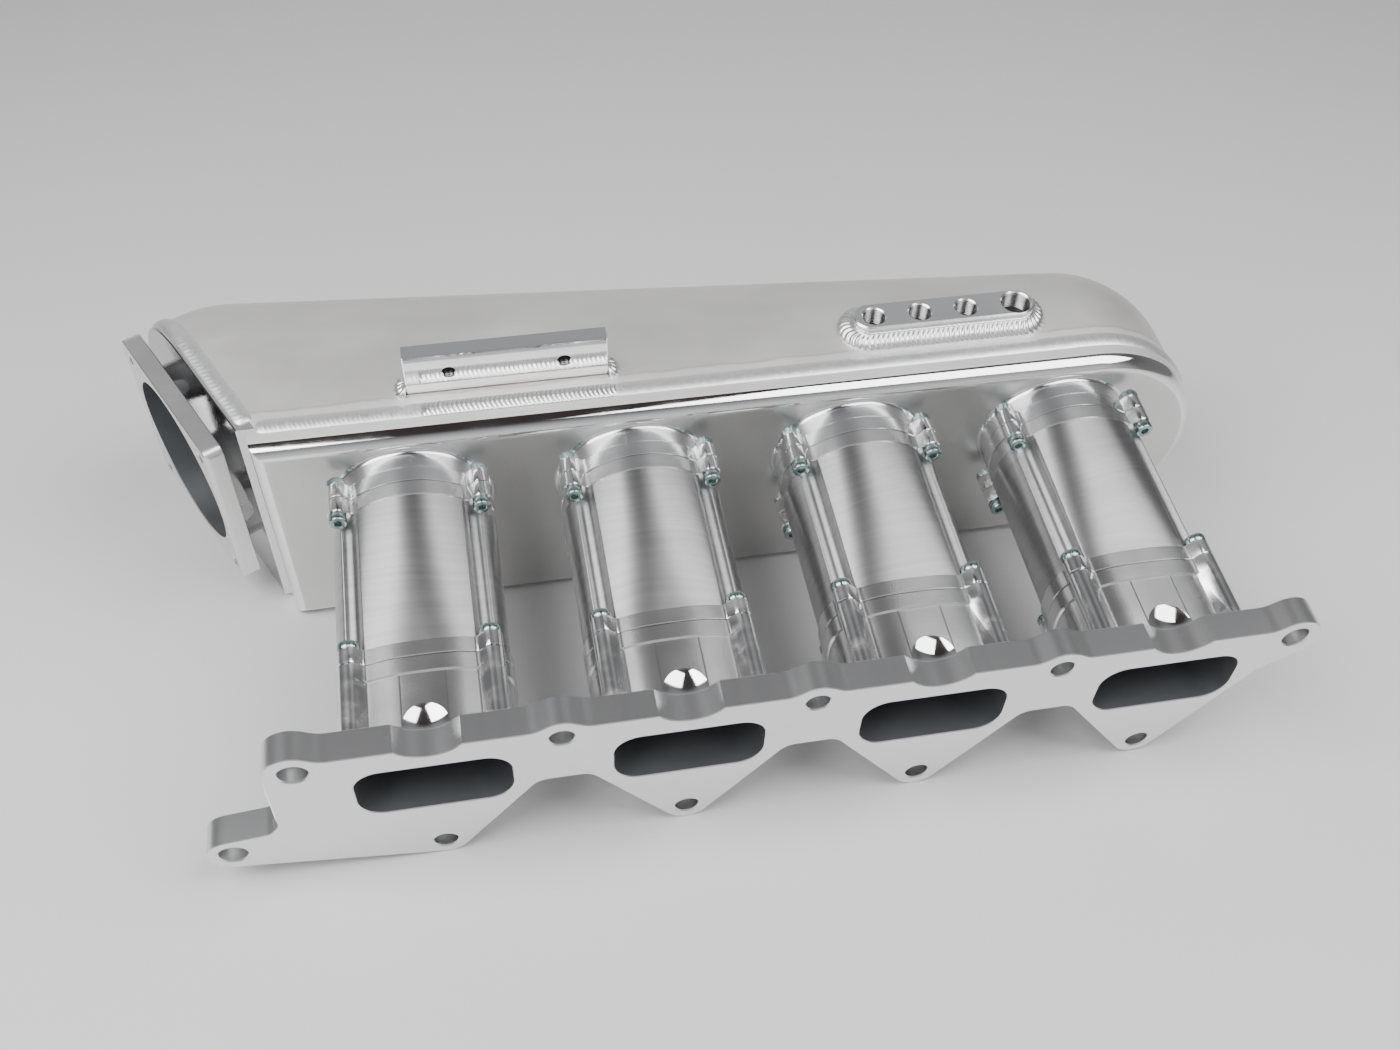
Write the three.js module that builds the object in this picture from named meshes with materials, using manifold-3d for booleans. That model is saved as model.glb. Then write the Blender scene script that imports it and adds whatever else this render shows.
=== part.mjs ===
// Four-runner intake manifold: machined head flange, four bolted-in runners, and a welded
// plenum with a square throttle flange.  Millimetres, +Z up.
// Origin: centre of the head flange's sealing face, level with the port centres.
// +X runs along the flange towards the closed plenum end, +Y runs up the runners to the plenum.
import * as THREE from 'three';
import { mergeVertices } from 'three/addons/utils/BufferGeometryUtils.js';
import Module from 'manifold-3d';

const wasm = await Module();
wasm.setup();

// ---- driving dimensions -------------------------------------------------------------------
const RUNNER_COUNT = 4;
const BORE_PITCH = 93;
const JOINT_GAP = 0.3;

// head flange
const FLANGE_THICKNESS = 12;
const FLANGE_TOP = 26.4;
const STUD_ROW_Z = 20.8;
const STUD_BOSS_R = 9.8;
const STUD_BOSS_RISE = THREE.MathUtils.degToRad(30);
const BOSS_FOOT_R = 9;
const LUG_ROW_Z = -41.7;
const LUG_R = 9;
const VALLEY_Z = -6.5;
const VALLEY_R = 7;
const LUG_SLOPE = Math.tan(THREE.MathUtils.degToRad(53.7));
const CORNER_STUD = { x: -216, z: -29.5, r: 9.5 };
const CORNER_ARM = { tipR: 9.3, lowZ: -37.7, highZ: -21.3, footX: -135.4, footZ: -51.4 };
const ARM_NECK = { inset: 1.2, lowZ: -17.9, lowR: 7, highZ: 9, highR: 30 };
const FLANGE_END = { sideZ: 13.2, sideR: 8, footX: 177.5, footZ: 1.5, footR: 12 };
const STUD_HOLE_R = 4.5;
const WIDE_HOLE_R = 5.25;
const PORT = { halfWidth: 28.1, halfHeight: 14.15, corner: 10 };
const INJECTOR = { r: 16.2, bottomZ: 21.1, endY: 12 };

// joints along a runner
const LOWER_JOINT_Y = 40.8;
const LOWER_EAR_END_Y = 47.6;
const UPPER_EAR_START_Y = 113.3;
const UPPER_JOINT_Y = 120.5;
const PLATE_EAR_END_Y = 127.7;
const STUB = { halfWidth: 32.4, halfHeight: 23.6, power: 2.7 };
const STUB_BAND = { halfWidth: 33.2, halfHeight: 24.4, power: 2.7 };
const STUB_BAND_LENGTH = 6.2;
const BAND_STEP = 0.8;
const RUNNER_TOP = { halfWidth: 32.9, halfHeight: 29.7, power: 2 };
const PLATE_NECK = { halfWidth: 32.2, halfHeight: 29, power: 2 };
const RUNNER_MIDDLE_Y = 80;
const MIDDLE_ROUNDNESS = 0.55;
const RUNNER_BORE_R = 25.5;
const LOWER_EAR = { x: 25.9, z: 21.1, r: 4.3 };
const UPPER_EAR = { x: 28.1, z: 21, r: 3.95 };
const EAR_ARM_LENGTH = 9;
const DRIVER_CHANNEL_R = 5.2;
const CAP_ROOM_LENGTH = 7;
const SEAL_GROOVE = { depth: 1.7, portOuter: 3.3, portInner: 1.1, runnerOuter: 28.7, runnerInner: 26.4 };
const SEAL = { height: 1.4, portOuter: 3, portInner: 1.5, runnerOuter: 28.3, runnerInner: 27 };

// fasteners: radii and lengths
const LOW_HEAD_SCREW = { shank: 2.5, head: 4.25, headHeight: 3.4, socket: 1.5, length: 18 };
const CAP_SCREW = { shank: 2, head: 3.5, headHeight: 4, socket: 1.5 };
const NUT = { r: 3.9, height: 3.2 };
const HEX_SOCKET_DEPTH = 2;
const SEAT_GAP = 0.2;
const HOLE_CLEARANCE = 0.35;
const CUT_OVERRUN = 1;

// base plate and plenum
const PLATE_FRONT_Y = 136.4;
const PLATE_BACK_Y = 150.5;
const PLATE_ROUNDOVER = 5;
const ROUNDOVER_DEGREES = [90, 60, 30, 0];
const PLENUM_Z = -18.5;
const PLENUM_R = 54.8;
const PLENUM_END_X = 155;
const PLATE_LEFT_X = -199.5;
const SHELL_START_Y = 150.8;
const SHELL_WALL = 3;
const SHELL_R = 54.5;
const SHELL_BACK_Y = 174;
const SHELL_TAPER = Math.atan(0.0845);
const SHELL_RUN = 370;
const SHELL_LAST_RUN = 60;
const MOUTH_FLARE = 5.5;

// throttle flange: local frame is (along the flange, up, outward)
const THROTTLE_ANGLE = THREE.MathUtils.degToRad(26.5);
const THROTTLE_FACE = { x: -237.5, y: 187, z: -17.2 };
const THROTTLE_SIDE = 83;
const THROTTLE_CORNER_R = 4;
const THROTTLE_BORE_R = 37.5;
const THROTTLE_THICKNESS = 8;
const THROTTLE_DEPTH = 20;
const END_PLATE_THICKNESS = 6.5;
const NECK_R = 41.5;
const THROTTLE_BOLT_HALF = 34.5;
const THROTTLE_THREAD_R = 2.6;

// items welded on top of the plenum
const BRACKET = { x: -95, y: 164.1, length: 82.5, height: 20.4, thickness: 7, holeHalf: 23.4, holeR: 2.6 };
const VACUUM_BLOCK = { minX: 53, maxX: 133.5, minY: 163.5, maxY: 178.5, topZ: 44.3 };
const VACUUM_PORTS = [
  { x: 62, r: 4.8 },
  { x: 82.3, r: 4.8 },
  { x: 102.8, r: 4.8 },
  { x: 125.3, r: 6.3 },
];
const VACUUM_PORT_Y = 170.6;
const VACUUM_PORT_FOOT_Z = 20;

// resolution
const RING_POINTS = 24;
const SCREW_SEGMENTS = 8;
const NUT_SEGMENTS = 6;
const HOLE_SEGMENTS = 8;
const POCKET_STEPS = 8;
const ROUND_SEGMENTS = 24;
const THROTTLE_SEGMENTS = 36;
const VACUUM_SEGMENTS = 16;
const PLATE_END_STEPS = 20;
const SHELL_QUARTER_STEPS = 6;
const MOUTH_STEPS = 3;
const CORNER_STEP_DEGREES = 30;
const STADIUM_STEP_DEGREES = 22.5;
const STADIUM_FULLNESS = 0.999;
const MERGE_TOLERANCE = 1e-4;

const runnerX = (index) => (index - (RUNNER_COUNT - 1) / 2) * BORE_PITCH;
const runnerIndices = Array.from({ length: RUNNER_COUNT }, (_, index) => index);
const cornerSigns = [[-1, 1], [1, 1], [-1, -1], [1, -1]];

// ---- solids -------------------------------------------------------------------------------
function toSolid(geometry) {
  const bare = geometry.clone();
  bare.deleteAttribute('normal');
  bare.deleteAttribute('uv');
  const merged = mergeVertices(bare, MERGE_TOLERANCE);
  return new wasm.Manifold(new wasm.Mesh({
    numProp: 3,
    vertProperties: new Float32Array(merged.attributes.position.array),
    triVerts: new Uint32Array(merged.index.array),
  }));
}

function toGeometry(solid) {
  const mesh = solid.getMesh();
  const geometry = new THREE.BufferGeometry();
  geometry.setAttribute('position', new THREE.BufferAttribute(mesh.vertProperties, 3));
  geometry.setIndex(new THREE.BufferAttribute(mesh.triVerts, 1));
  geometry.computeVertexNormals();
  return geometry;
}

const join = (solids) => solids.reduce((whole, solid) => whole.add(solid));
const cut = (solid, tools) => tools.reduce((whole, tool) => whole.subtract(tool), solid);

// Plate whose outline lies in XZ, from startY to endY.
function plateXZ(outline, startY, endY) {
  const geometry = new THREE.ExtrudeGeometry(new THREE.Shape(outline), {
    depth: endY - startY,
    bevelEnabled: false,
  });
  geometry.rotateX(Math.PI / 2);
  geometry.translate(0, endY, 0);
  return toSolid(geometry);
}

// Round bar along Y.
function barY(x, z, radius, startY, endY, segments = HOLE_SEGMENTS) {
  const geometry = new THREE.CylinderGeometry(radius, radius, endY - startY, segments);
  geometry.translate(x, (startY + endY) / 2, z);
  return toSolid(geometry);
}

// Solid through a stack of rings with equal point counts; both ends are closed by fans.
function loft(rings) {
  const count = rings[0].length;
  const positions = rings.flat().flatMap((point) => [point.x, point.y, point.z]);
  const index = [];
  for (let ring = 0; ring + 1 < rings.length; ring += 1) {
    for (let k = 0; k < count; k += 1) {
      const a = ring * count + k;
      const b = ring * count + ((k + 1) % count);
      index.push(a, a + count, b, b, a + count, b + count);
    }
  }
  [rings[0], rings[rings.length - 1]].forEach((ring, end) => {
    const centre = new THREE.Vector3();
    ring.forEach((point) => centre.addScaledVector(point, 1 / count));
    const hub = positions.length / 3;
    positions.push(centre.x, centre.y, centre.z);
    const first = end === 0 ? 0 : (rings.length - 1) * count;
    for (let k = 0; k < count; k += 1) {
      const a = first + k;
      const b = first + ((k + 1) % count);
      index.push(...(end === 0 ? [hub, a, b] : [hub, b, a]));
    }
  });
  const geometry = new THREE.BufferGeometry();
  geometry.setAttribute('position', new THREE.Float32BufferAttribute(positions, 3));
  geometry.setIndex(index);
  return toSolid(geometry);
}

// ---- outlines -----------------------------------------------------------------------------
// Polygon from [x, y, radius] corners, each corner rounded by an arc.
function roundedOutline(corners, stepDegrees = CORNER_STEP_DEGREES) {
  const points = [];
  const count = corners.length;
  corners.forEach(([x, y, radius], index) => {
    const corner = new THREE.Vector2(x, y);
    const before = new THREE.Vector2(...corners[(index + count - 1) % count].slice(0, 2));
    const after = new THREE.Vector2(...corners[(index + 1) % count].slice(0, 2));
    if (radius === 0) {
      points.push(corner);
      return;
    }
    const inward = before.sub(corner).normalize();
    const outward = after.sub(corner).normalize();
    const half = Math.acos(THREE.MathUtils.clamp(inward.dot(outward), -1, 1)) / 2;
    const middle = inward.clone().add(outward).normalize();
    const centre = corner.clone().addScaledVector(middle, radius / Math.sin(half));
    const first = corner.clone().addScaledVector(inward, radius / Math.tan(half)).sub(centre);
    const turn = Math.PI - 2 * half;
    const side = Math.sign(-inward.cross(outward));
    const steps = Math.max(1, Math.round(THREE.MathUtils.radToDeg(turn) / stepDegrees));
    for (let step = 0; step <= steps; step += 1) {
      const spoke = first.clone().rotateAround(new THREE.Vector2(), (side * turn * step) / steps);
      points.push(centre.clone().add(spoke));
    }
  });
  return points;
}

// Ring of points at height y whose radius about the port axis at x is given for each angle.
function polarRing(x, y, radiusAt) {
  return Array.from({ length: RING_POINTS }, (_, k) => {
    const angle = (2 * Math.PI * k) / RING_POINTS;
    const radius = radiusAt(angle);
    return new THREE.Vector3(x + radius * Math.cos(angle), y, radius * Math.sin(angle));
  });
}

const oval = ({ halfWidth, halfHeight, power }) => (angle) => (
  (Math.abs(Math.cos(angle)) / halfWidth) ** power
  + (Math.abs(Math.sin(angle)) / halfHeight) ** power
) ** (-1 / power);

const circle = (radius) => () => radius;

function roundedRectangle(halfWidth, halfHeight, corner) {
  return (angle) => {
    const c = Math.abs(Math.cos(angle));
    const s = Math.abs(Math.sin(angle));
    const cornerX = halfWidth - corner;
    const cornerY = halfHeight - corner;
    if (halfWidth * s <= cornerY * c) return halfWidth / c;
    if (halfHeight * c <= cornerX * s) return halfHeight / s;
    const along = cornerX * c + cornerY * s;
    return along + Math.sqrt(along * along - cornerX ** 2 - cornerY ** 2 + corner ** 2);
  };
}

const port = (grow = 0) => roundedRectangle(
  PORT.halfWidth + grow,
  PORT.halfHeight + grow,
  PORT.corner + grow,
);

function blend(from, to, share) {
  return (angle) => from(angle) * (1 - share) + to(angle) * share;
}

// Straight bar along Y with the given polar outline.
function ringBar(x, startY, endY, radiusAt) {
  return loft([polarRing(x, startY, radiusAt), polarRing(x, endY, radiusAt)]);
}

// Straight tube along Y between two polar outlines.
function ringTube(x, startY, endY, outer, inner) {
  const hollow = ringBar(x, startY - CUT_OVERRUN, endY + CUT_OVERRUN, inner);
  return ringBar(x, startY, endY, outer).subtract(hollow);
}

// Groove cut into a joint face that looks along +Y.
function sealGroove(x, faceY, outer, inner) {
  return ringTube(x, faceY - SEAL_GROOVE.depth, faceY + CUT_OVERRUN, outer, inner);
}

// Bar with round ends, from minX to maxX over all.  The corners stop just short of the full
// radius, so that the two arcs of an end don't share a point.
function stadium(minX, maxX, centreY, radius) {
  const top = centreY + radius;
  const bottom = centreY - radius;
  const corner = radius * STADIUM_FULLNESS;
  return roundedOutline([
    [minX, bottom, corner],
    [maxX, bottom, corner],
    [maxX, top, corner],
    [minX, top, corner],
  ], STADIUM_STEP_DEGREES);
}

// ---- head flange --------------------------------------------------------------------------
function headFlangeOutline() {
  const bossTop = STUD_ROW_Z + STUD_BOSS_R / Math.cos(STUD_BOSS_RISE);
  const bossFoot = (bossTop - FLANGE_TOP) / Math.tan(STUD_BOSS_RISE);
  const lugTip = LUG_ROW_Z - LUG_R * Math.sqrt(1 + LUG_SLOPE ** 2);
  const lugFoot = (VALLEY_Z - lugTip) / LUG_SLOPE;
  const leftX = runnerX(0) - BORE_PITCH / 2 - STUD_BOSS_R;
  const rightX = runnerX(RUNNER_COUNT - 1) + BORE_PITCH / 2 + STUD_BOSS_R;
  const endBossTop = bossTop + STUD_BOSS_R * Math.tan(STUD_BOSS_RISE);

  // the injector pockets are open arcs in the top edge
  const pocketDepth = FLANGE_TOP - INJECTOR.bottomZ;
  const pocketHalf = Math.sqrt(2 * INJECTOR.r * pocketDepth - pocketDepth ** 2);
  const pocketAngle = Math.asin(pocketHalf / INJECTOR.r);
  const pocketPoints = (x) => Array.from({ length: POCKET_STEPS + 1 }, (_, k) => {
    const angle = -pocketAngle + (2 * pocketAngle * k) / POCKET_STEPS;
    return [
      x + INJECTOR.r * Math.sin(angle),
      INJECTOR.bottomZ + INJECTOR.r * (1 - Math.cos(angle)),
      0,
    ];
  });

  const corners = [
    [leftX, endBossTop, STUD_BOSS_R],
    [leftX + STUD_BOSS_R + bossFoot, FLANGE_TOP, BOSS_FOOT_R],
  ];
  runnerIndices.forEach((index) => {
    const studX = runnerX(index) + BORE_PITCH / 2;
    corners.push(...pocketPoints(runnerX(index)));
    corners.push([studX - bossFoot, FLANGE_TOP, BOSS_FOOT_R]);
    if (index < RUNNER_COUNT - 1) {
      corners.push([studX, bossTop, STUD_BOSS_R], [studX + bossFoot, FLANGE_TOP, BOSS_FOOT_R]);
    }
  });
  corners.push([rightX, endBossTop, STUD_BOSS_R]);
  corners.push([rightX, FLANGE_END.sideZ, FLANGE_END.sideR]);
  corners.push([FLANGE_END.footX, FLANGE_END.footZ, FLANGE_END.footR]);
  for (let index = RUNNER_COUNT - 1; index > 0; index -= 1) {
    const x = runnerX(index);
    corners.push([x, lugTip, LUG_R]);
    corners.push([x - lugFoot, VALLEY_Z, VALLEY_R], [x - BORE_PITCH + lugFoot, VALLEY_Z, VALLEY_R]);
  }
  const armX = CORNER_STUD.x - CORNER_STUD.r;
  const neckX = leftX - ARM_NECK.inset;
  corners.push([CORNER_ARM.footX, CORNER_ARM.footZ, LUG_R]);
  corners.push([armX, CORNER_ARM.lowZ, CORNER_ARM.tipR], [armX, CORNER_ARM.highZ, CORNER_ARM.tipR]);
  corners.push([neckX, ARM_NECK.lowZ, ARM_NECK.lowR], [neckX, ARM_NECK.highZ, ARM_NECK.highR]);
  return roundedOutline(corners.reverse());
}

const studHole = (x, z, radius) => barY(x, z, radius, -CUT_OVERRUN, FLANGE_THICKNESS + CUT_OVERRUN);

function headFlange() {
  const body = [plateXZ(headFlangeOutline(), 0, FLANGE_THICKNESS)];
  const cuts = [];
  const jointY = LOWER_JOINT_Y - JOINT_GAP / 2;
  runnerIndices.forEach((index) => {
    const x = runnerX(index);
    body.push(loft([
      polarRing(x, FLANGE_THICKNESS - CUT_OVERRUN, oval(STUB)),
      polarRing(x, jointY - STUB_BAND_LENGTH - BAND_STEP, oval(STUB)),
      polarRing(x, jointY - STUB_BAND_LENGTH, oval(STUB_BAND)),
      polarRing(x, jointY, oval(STUB_BAND)),
    ]));
    cornerSigns.forEach(([sx, sz]) => {
      const earX = x + sx * LOWER_EAR.x;
      const earZ = sz * LOWER_EAR.z;
      body.push(barY(earX, earZ, LOWER_EAR.r, FLANGE_THICKNESS - CUT_OVERRUN, jointY));
      const holeR = LOW_HEAD_SCREW.shank + HOLE_CLEARANCE;
      const holeEnd = LOWER_EAR_END_Y - LOW_HEAD_SCREW.length - CUT_OVERRUN;
      cuts.push(barY(earX, earZ, holeR, holeEnd, jointY + CUT_OVERRUN));
    });
    cuts.push(ringBar(x, -CUT_OVERRUN, jointY + CUT_OVERRUN, port()));
    cuts.push(sealGroove(x, jointY, port(SEAL_GROOVE.portOuter), port(SEAL_GROOVE.portInner)));
    const dimple = new THREE.SphereGeometry(INJECTOR.r, ROUND_SEGMENTS, ROUND_SEGMENTS / 2);
    dimple.translate(x, INJECTOR.endY, INJECTOR.bottomZ + INJECTOR.r);
    cuts.push(toSolid(dimple));
    cuts.push(studHole(x, LUG_ROW_Z, STUD_HOLE_R));
  });
  for (let index = 0; index <= RUNNER_COUNT; index += 1) {
    const radius = index % RUNNER_COUNT === 0 ? WIDE_HOLE_R : STUD_HOLE_R;
    cuts.push(studHole(runnerX(index) - BORE_PITCH / 2, STUD_ROW_Z, radius));
  }
  cuts.push(studHole(CORNER_STUD.x, CORNER_STUD.z, WIDE_HOLE_R));
  return cut(join(body), cuts);
}

// ---- runners ------------------------------------------------------------------------------
// Ear that carries one joint screw: a round-ended arm from inside the body.
function earArm(x, ear, sx, sz, startY, endY) {
  const arm = new THREE.BoxGeometry(EAR_ARM_LENGTH, endY - startY, 2 * ear.r);
  arm.rotateY(-Math.atan2(sz * ear.z, sx * ear.x));
  const reach = Math.hypot(ear.x, ear.z);
  const inner = (reach - EAR_ARM_LENGTH / 2) / reach;
  arm.translate(x + sx * ear.x * inner, (startY + endY) / 2, sz * ear.z * inner);
  return toSolid(arm).add(barY(x + sx * ear.x, sz * ear.z, ear.r, startY, endY));
}

function runner(x) {
  const lowerFace = LOWER_JOINT_Y + JOINT_GAP / 2;
  const upperFace = UPPER_JOINT_Y - JOINT_GAP / 2;
  const shapeAt = (share) => blend(oval(STUB), oval(RUNNER_TOP), share);
  const body = [loft([
    polarRing(x, lowerFace, oval(STUB_BAND)),
    polarRing(x, LOWER_EAR_END_Y, oval(STUB_BAND)),
    polarRing(x, LOWER_EAR_END_Y + BAND_STEP, shapeAt(0)),
    polarRing(x, RUNNER_MIDDLE_Y, shapeAt(0.5)),
    polarRing(x, upperFace, shapeAt(1)),
  ])];
  const cuts = [loft([
    polarRing(x, lowerFace - CUT_OVERRUN, port()),
    polarRing(x, lowerFace, port()),
    polarRing(x, RUNNER_MIDDLE_Y, blend(port(), circle(RUNNER_BORE_R), MIDDLE_ROUNDNESS)),
    polarRing(x, upperFace, circle(RUNNER_BORE_R)),
    polarRing(x, upperFace + CUT_OVERRUN, circle(RUNNER_BORE_R)),
  ])];
  cuts.push(sealGroove(x, upperFace, circle(SEAL_GROOVE.runnerOuter), circle(SEAL_GROOVE.runnerInner)));
  cornerSigns.forEach(([sx, sz]) => {
    body.push(earArm(x, LOWER_EAR, sx, sz, lowerFace, LOWER_EAR_END_Y));
    body.push(earArm(x, UPPER_EAR, sx, sz, UPPER_EAR_START_Y, upperFace));
    const lowerHole = LOW_HEAD_SCREW.shank + HOLE_CLEARANCE;
    const upperHole = CAP_SCREW.shank + HOLE_CLEARANCE;
    const lowX = x + sx * LOWER_EAR.x;
    const lowZ = sz * LOWER_EAR.z;
    const topX = x + sx * UPPER_EAR.x;
    const topZ = sz * UPPER_EAR.z;
    cuts.push(barY(lowX, lowZ, lowerHole, lowerFace - CUT_OVERRUN, LOWER_EAR_END_Y + CUT_OVERRUN));
    cuts.push(barY(topX, topZ, upperHole, UPPER_EAR_START_Y - CUT_OVERRUN, upperFace + CUT_OVERRUN));
    // a channel down the runner's side lets a driver reach the port screw, and gives its head a seat
    cuts.push(barY(lowX, lowZ, DRIVER_CHANNEL_R, LOWER_EAR_END_Y, UPPER_EAR_START_Y));
    const capRoom = CAP_SCREW.head + HOLE_CLEARANCE;
    cuts.push(barY(topX, topZ, capRoom, UPPER_EAR_START_Y - CAP_ROOM_LENGTH, UPPER_EAR_START_Y));
  });
  return cut(join(body), cuts);
}

// ---- fasteners ----------------------------------------------------------------------------
// Each is turned about its own axis, then laid along Y with its head at the low end.
function turned(profile, segments) {
  const points = profile.map(([radius, y]) => new THREE.Vector2(radius, y));
  return new THREE.LatheGeometry(points, segments);
}

// Screw down into the head flange: the head sits on the runner's lower ear.
function lowHeadScrew() {
  const { shank, head, headHeight, socket, length } = LOW_HEAD_SCREW;
  return turned([
    [0, -length],
    [shank, -length],
    [shank, SEAT_GAP],
    [head, SEAT_GAP],
    [head, headHeight],
    [socket, headHeight],
    [0, headHeight - HEX_SOCKET_DEPTH],
  ], SCREW_SEGMENTS);
}

// Screw and nut clamping the upper joint: head under the runner's ear, nut behind the plate's.
function capScrewWithNut() {
  const { shank, head, headHeight, socket } = CAP_SCREW;
  const grip = PLATE_EAR_END_Y - UPPER_EAR_START_Y;
  return turned([
    [0, -headHeight + HEX_SOCKET_DEPTH],
    [socket, -headHeight],
    [head, -headHeight],
    [head, -SEAT_GAP],
    [shank, -SEAT_GAP],
    [shank, grip + SEAT_GAP],
    [NUT.r, grip + SEAT_GAP],
    [NUT.r, grip + NUT.height],
    [0, grip + NUT.height],
  ], NUT_SEGMENTS);
}

// ---- base plate ---------------------------------------------------------------------------
// Plate outline, pulled in all round by the given inset.
function plateRing(y, inset) {
  const radius = PLENUM_R - inset;
  const left = PLATE_LEFT_X + inset;
  const outline = [new THREE.Vector2(left, PLENUM_Z - radius)];
  for (let step = 0; step <= PLATE_END_STEPS; step += 1) {
    const angle = -Math.PI / 2 + (Math.PI * step) / PLATE_END_STEPS;
    outline.push(new THREE.Vector2(
      PLENUM_END_X + radius * Math.cos(angle),
      PLENUM_Z + radius * Math.sin(angle),
    ));
  }
  outline.push(new THREE.Vector2(left, PLENUM_Z + radius));
  return outline.map((point) => new THREE.Vector3(point.x, y, point.y));
}

function basePlate() {
  const softened = (degrees) => {
    const angle = THREE.MathUtils.degToRad(degrees);
    return plateRing(
      PLATE_FRONT_Y + PLATE_ROUNDOVER * (1 - Math.sin(angle)),
      PLATE_ROUNDOVER * (1 - Math.cos(angle)),
    );
  };
  const solids = [loft([...ROUNDOVER_DEGREES.map(softened), plateRing(PLATE_BACK_Y, 0)])];
  const cuts = [];
  const jointY = UPPER_JOINT_Y + JOINT_GAP / 2;
  runnerIndices.forEach((index) => {
    const x = runnerX(index);
    solids.push(loft([
      polarRing(x, jointY, oval(RUNNER_TOP)),
      polarRing(x, PLATE_EAR_END_Y, oval(RUNNER_TOP)),
      polarRing(x, PLATE_EAR_END_Y + BAND_STEP, oval(PLATE_NECK)),
      polarRing(x, PLATE_FRONT_Y + CUT_OVERRUN, oval(PLATE_NECK)),
    ]));
    const mouth = [polarRing(x, jointY - CUT_OVERRUN, circle(RUNNER_BORE_R))];
    for (let step = 0; step <= MOUTH_STEPS; step += 1) {
      const angle = (Math.PI / 2) * (step / MOUTH_STEPS);
      mouth.push(polarRing(
        x,
        PLATE_BACK_Y - MOUTH_FLARE * (1 - Math.sin(angle)),
        circle(RUNNER_BORE_R + MOUTH_FLARE * (1 - Math.cos(angle))),
      ));
    }
    mouth.push(polarRing(x, PLATE_BACK_Y + CUT_OVERRUN, circle(RUNNER_BORE_R + MOUTH_FLARE)));
    cuts.push(loft(mouth));
    cornerSigns.forEach(([sx, sz]) => {
      const holeR = CAP_SCREW.shank + HOLE_CLEARANCE;
      const earX = x + sx * UPPER_EAR.x;
      const earZ = sz * UPPER_EAR.z;
      solids.push(earArm(x, UPPER_EAR, sx, sz, jointY, PLATE_EAR_END_Y));
      cuts.push(barY(earX, earZ, holeR, jointY - CUT_OVERRUN, PLATE_EAR_END_Y + CUT_OVERRUN));
      const nutRoomEnd = PLATE_FRONT_Y - CUT_OVERRUN / 2;
      cuts.push(barY(earX, earZ, NUT.r + HOLE_CLEARANCE, PLATE_EAR_END_Y, nutRoomEnd));
    });
  });
  return cut(join(solids), cuts);
}

// ---- plenum shell -------------------------------------------------------------------------
const quarterRound = (radius, steps) => Array.from({ length: steps + 1 }, (_, step) => {
  const angle = (Math.PI / 2) * (step / steps);
  return new THREE.Vector2(radius * Math.cos(angle), radius * Math.sin(angle));
});

// D-section bar from a plan point, running towards -X and turned about Z.
function plenumRun(radius, start, turn, length) {
  const quarter = quarterRound(radius, SHELL_QUARTER_STEPS);
  const otherQuarter = quarter.slice(0, -1).reverse().map(({ x, y }) => new THREE.Vector2(-x, y));
  // the section runs well past the sheet's front edge, which is trimmed square afterwards
  const front = -2 * PLENUM_R;
  const section = [
    new THREE.Vector2(-radius, front),
    new THREE.Vector2(radius, front),
    ...quarter,
    ...otherQuarter,
  ];
  const bar = new THREE.ExtrudeGeometry(new THREE.Shape(section), { depth: length, bevelEnabled: false });
  bar.applyMatrix4(new THREE.Matrix4().makeBasis(
    new THREE.Vector3(0, 0, 1),
    new THREE.Vector3(0, 1, 0),
    new THREE.Vector3(-1, 0, 0),
  ));
  bar.rotateZ(turn);
  bar.translate(start.x, start.y, PLENUM_Z);
  return toSolid(bar);
}

// The D-section's half-round back leans out towards the throttle, so the plenum is deepest where
// the air comes in, then turns square to the throttle flange.  The far end is spherical.
const plenumEnd = new THREE.Vector2(PLENUM_END_X, SHELL_BACK_Y);
const plenumCorner = new THREE.Vector2(-SHELL_RUN, 0)
  .rotateAround(new THREE.Vector2(), -SHELL_TAPER)
  .add(plenumEnd);

function plenumBody(radius, startY) {
  const depth = startY - SHELL_BACK_Y;
  const profile = [
    new THREE.Vector2(0, depth),
    new THREE.Vector2(radius, depth),
    ...quarterRound(radius, SHELL_QUARTER_STEPS),
  ];
  const end = new THREE.LatheGeometry(profile, ROUND_SEGMENTS);
  end.translate(plenumEnd.x, plenumEnd.y, PLENUM_Z);
  const knuckle = new THREE.SphereGeometry(radius, ROUND_SEGMENTS, ROUND_SEGMENTS / 2);
  knuckle.translate(plenumCorner.x, plenumCorner.y, PLENUM_Z);
  const frontBox = new THREE.BoxGeometry(3 * SHELL_RUN, SHELL_RUN, SHELL_RUN);
  frontBox.translate(0, startY - SHELL_RUN / 2, 0);
  return join([
    toSolid(end),
    plenumRun(radius, plenumEnd, -SHELL_TAPER, SHELL_RUN),
    toSolid(knuckle),
    plenumRun(radius, plenumCorner, THROTTLE_ANGLE, SHELL_LAST_RUN),
  ]).subtract(toSolid(frontBox));
}

// ---- throttle flange ----------------------------------------------------------------------
const throttleAxes = {
  along: new THREE.Vector3(Math.sin(THROTTLE_ANGLE), -Math.cos(THROTTLE_ANGLE), 0),
  up: new THREE.Vector3(0, 0, 1),
  outward: new THREE.Vector3(-Math.cos(THROTTLE_ANGLE), -Math.sin(THROTTLE_ANGLE), 0),
};
const throttlePlace = new THREE.Matrix4()
  .makeBasis(throttleAxes.along, throttleAxes.up, throttleAxes.outward)
  .setPosition(THROTTLE_FACE.x, THROTTLE_FACE.y, THROTTLE_FACE.z);

function throttleSlab(outline, from, to) {
  const geometry = new THREE.ExtrudeGeometry(new THREE.Shape(outline), {
    depth: to - from,
    bevelEnabled: false,
  });
  geometry.translate(0, 0, from);
  geometry.applyMatrix4(throttlePlace);
  return toSolid(geometry);
}

function centredSquare(half, radius) {
  return roundedOutline([
    [-half, -half, radius],
    [half, -half, radius],
    [half, half, radius],
    [-half, half, radius],
  ]);
}

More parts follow.
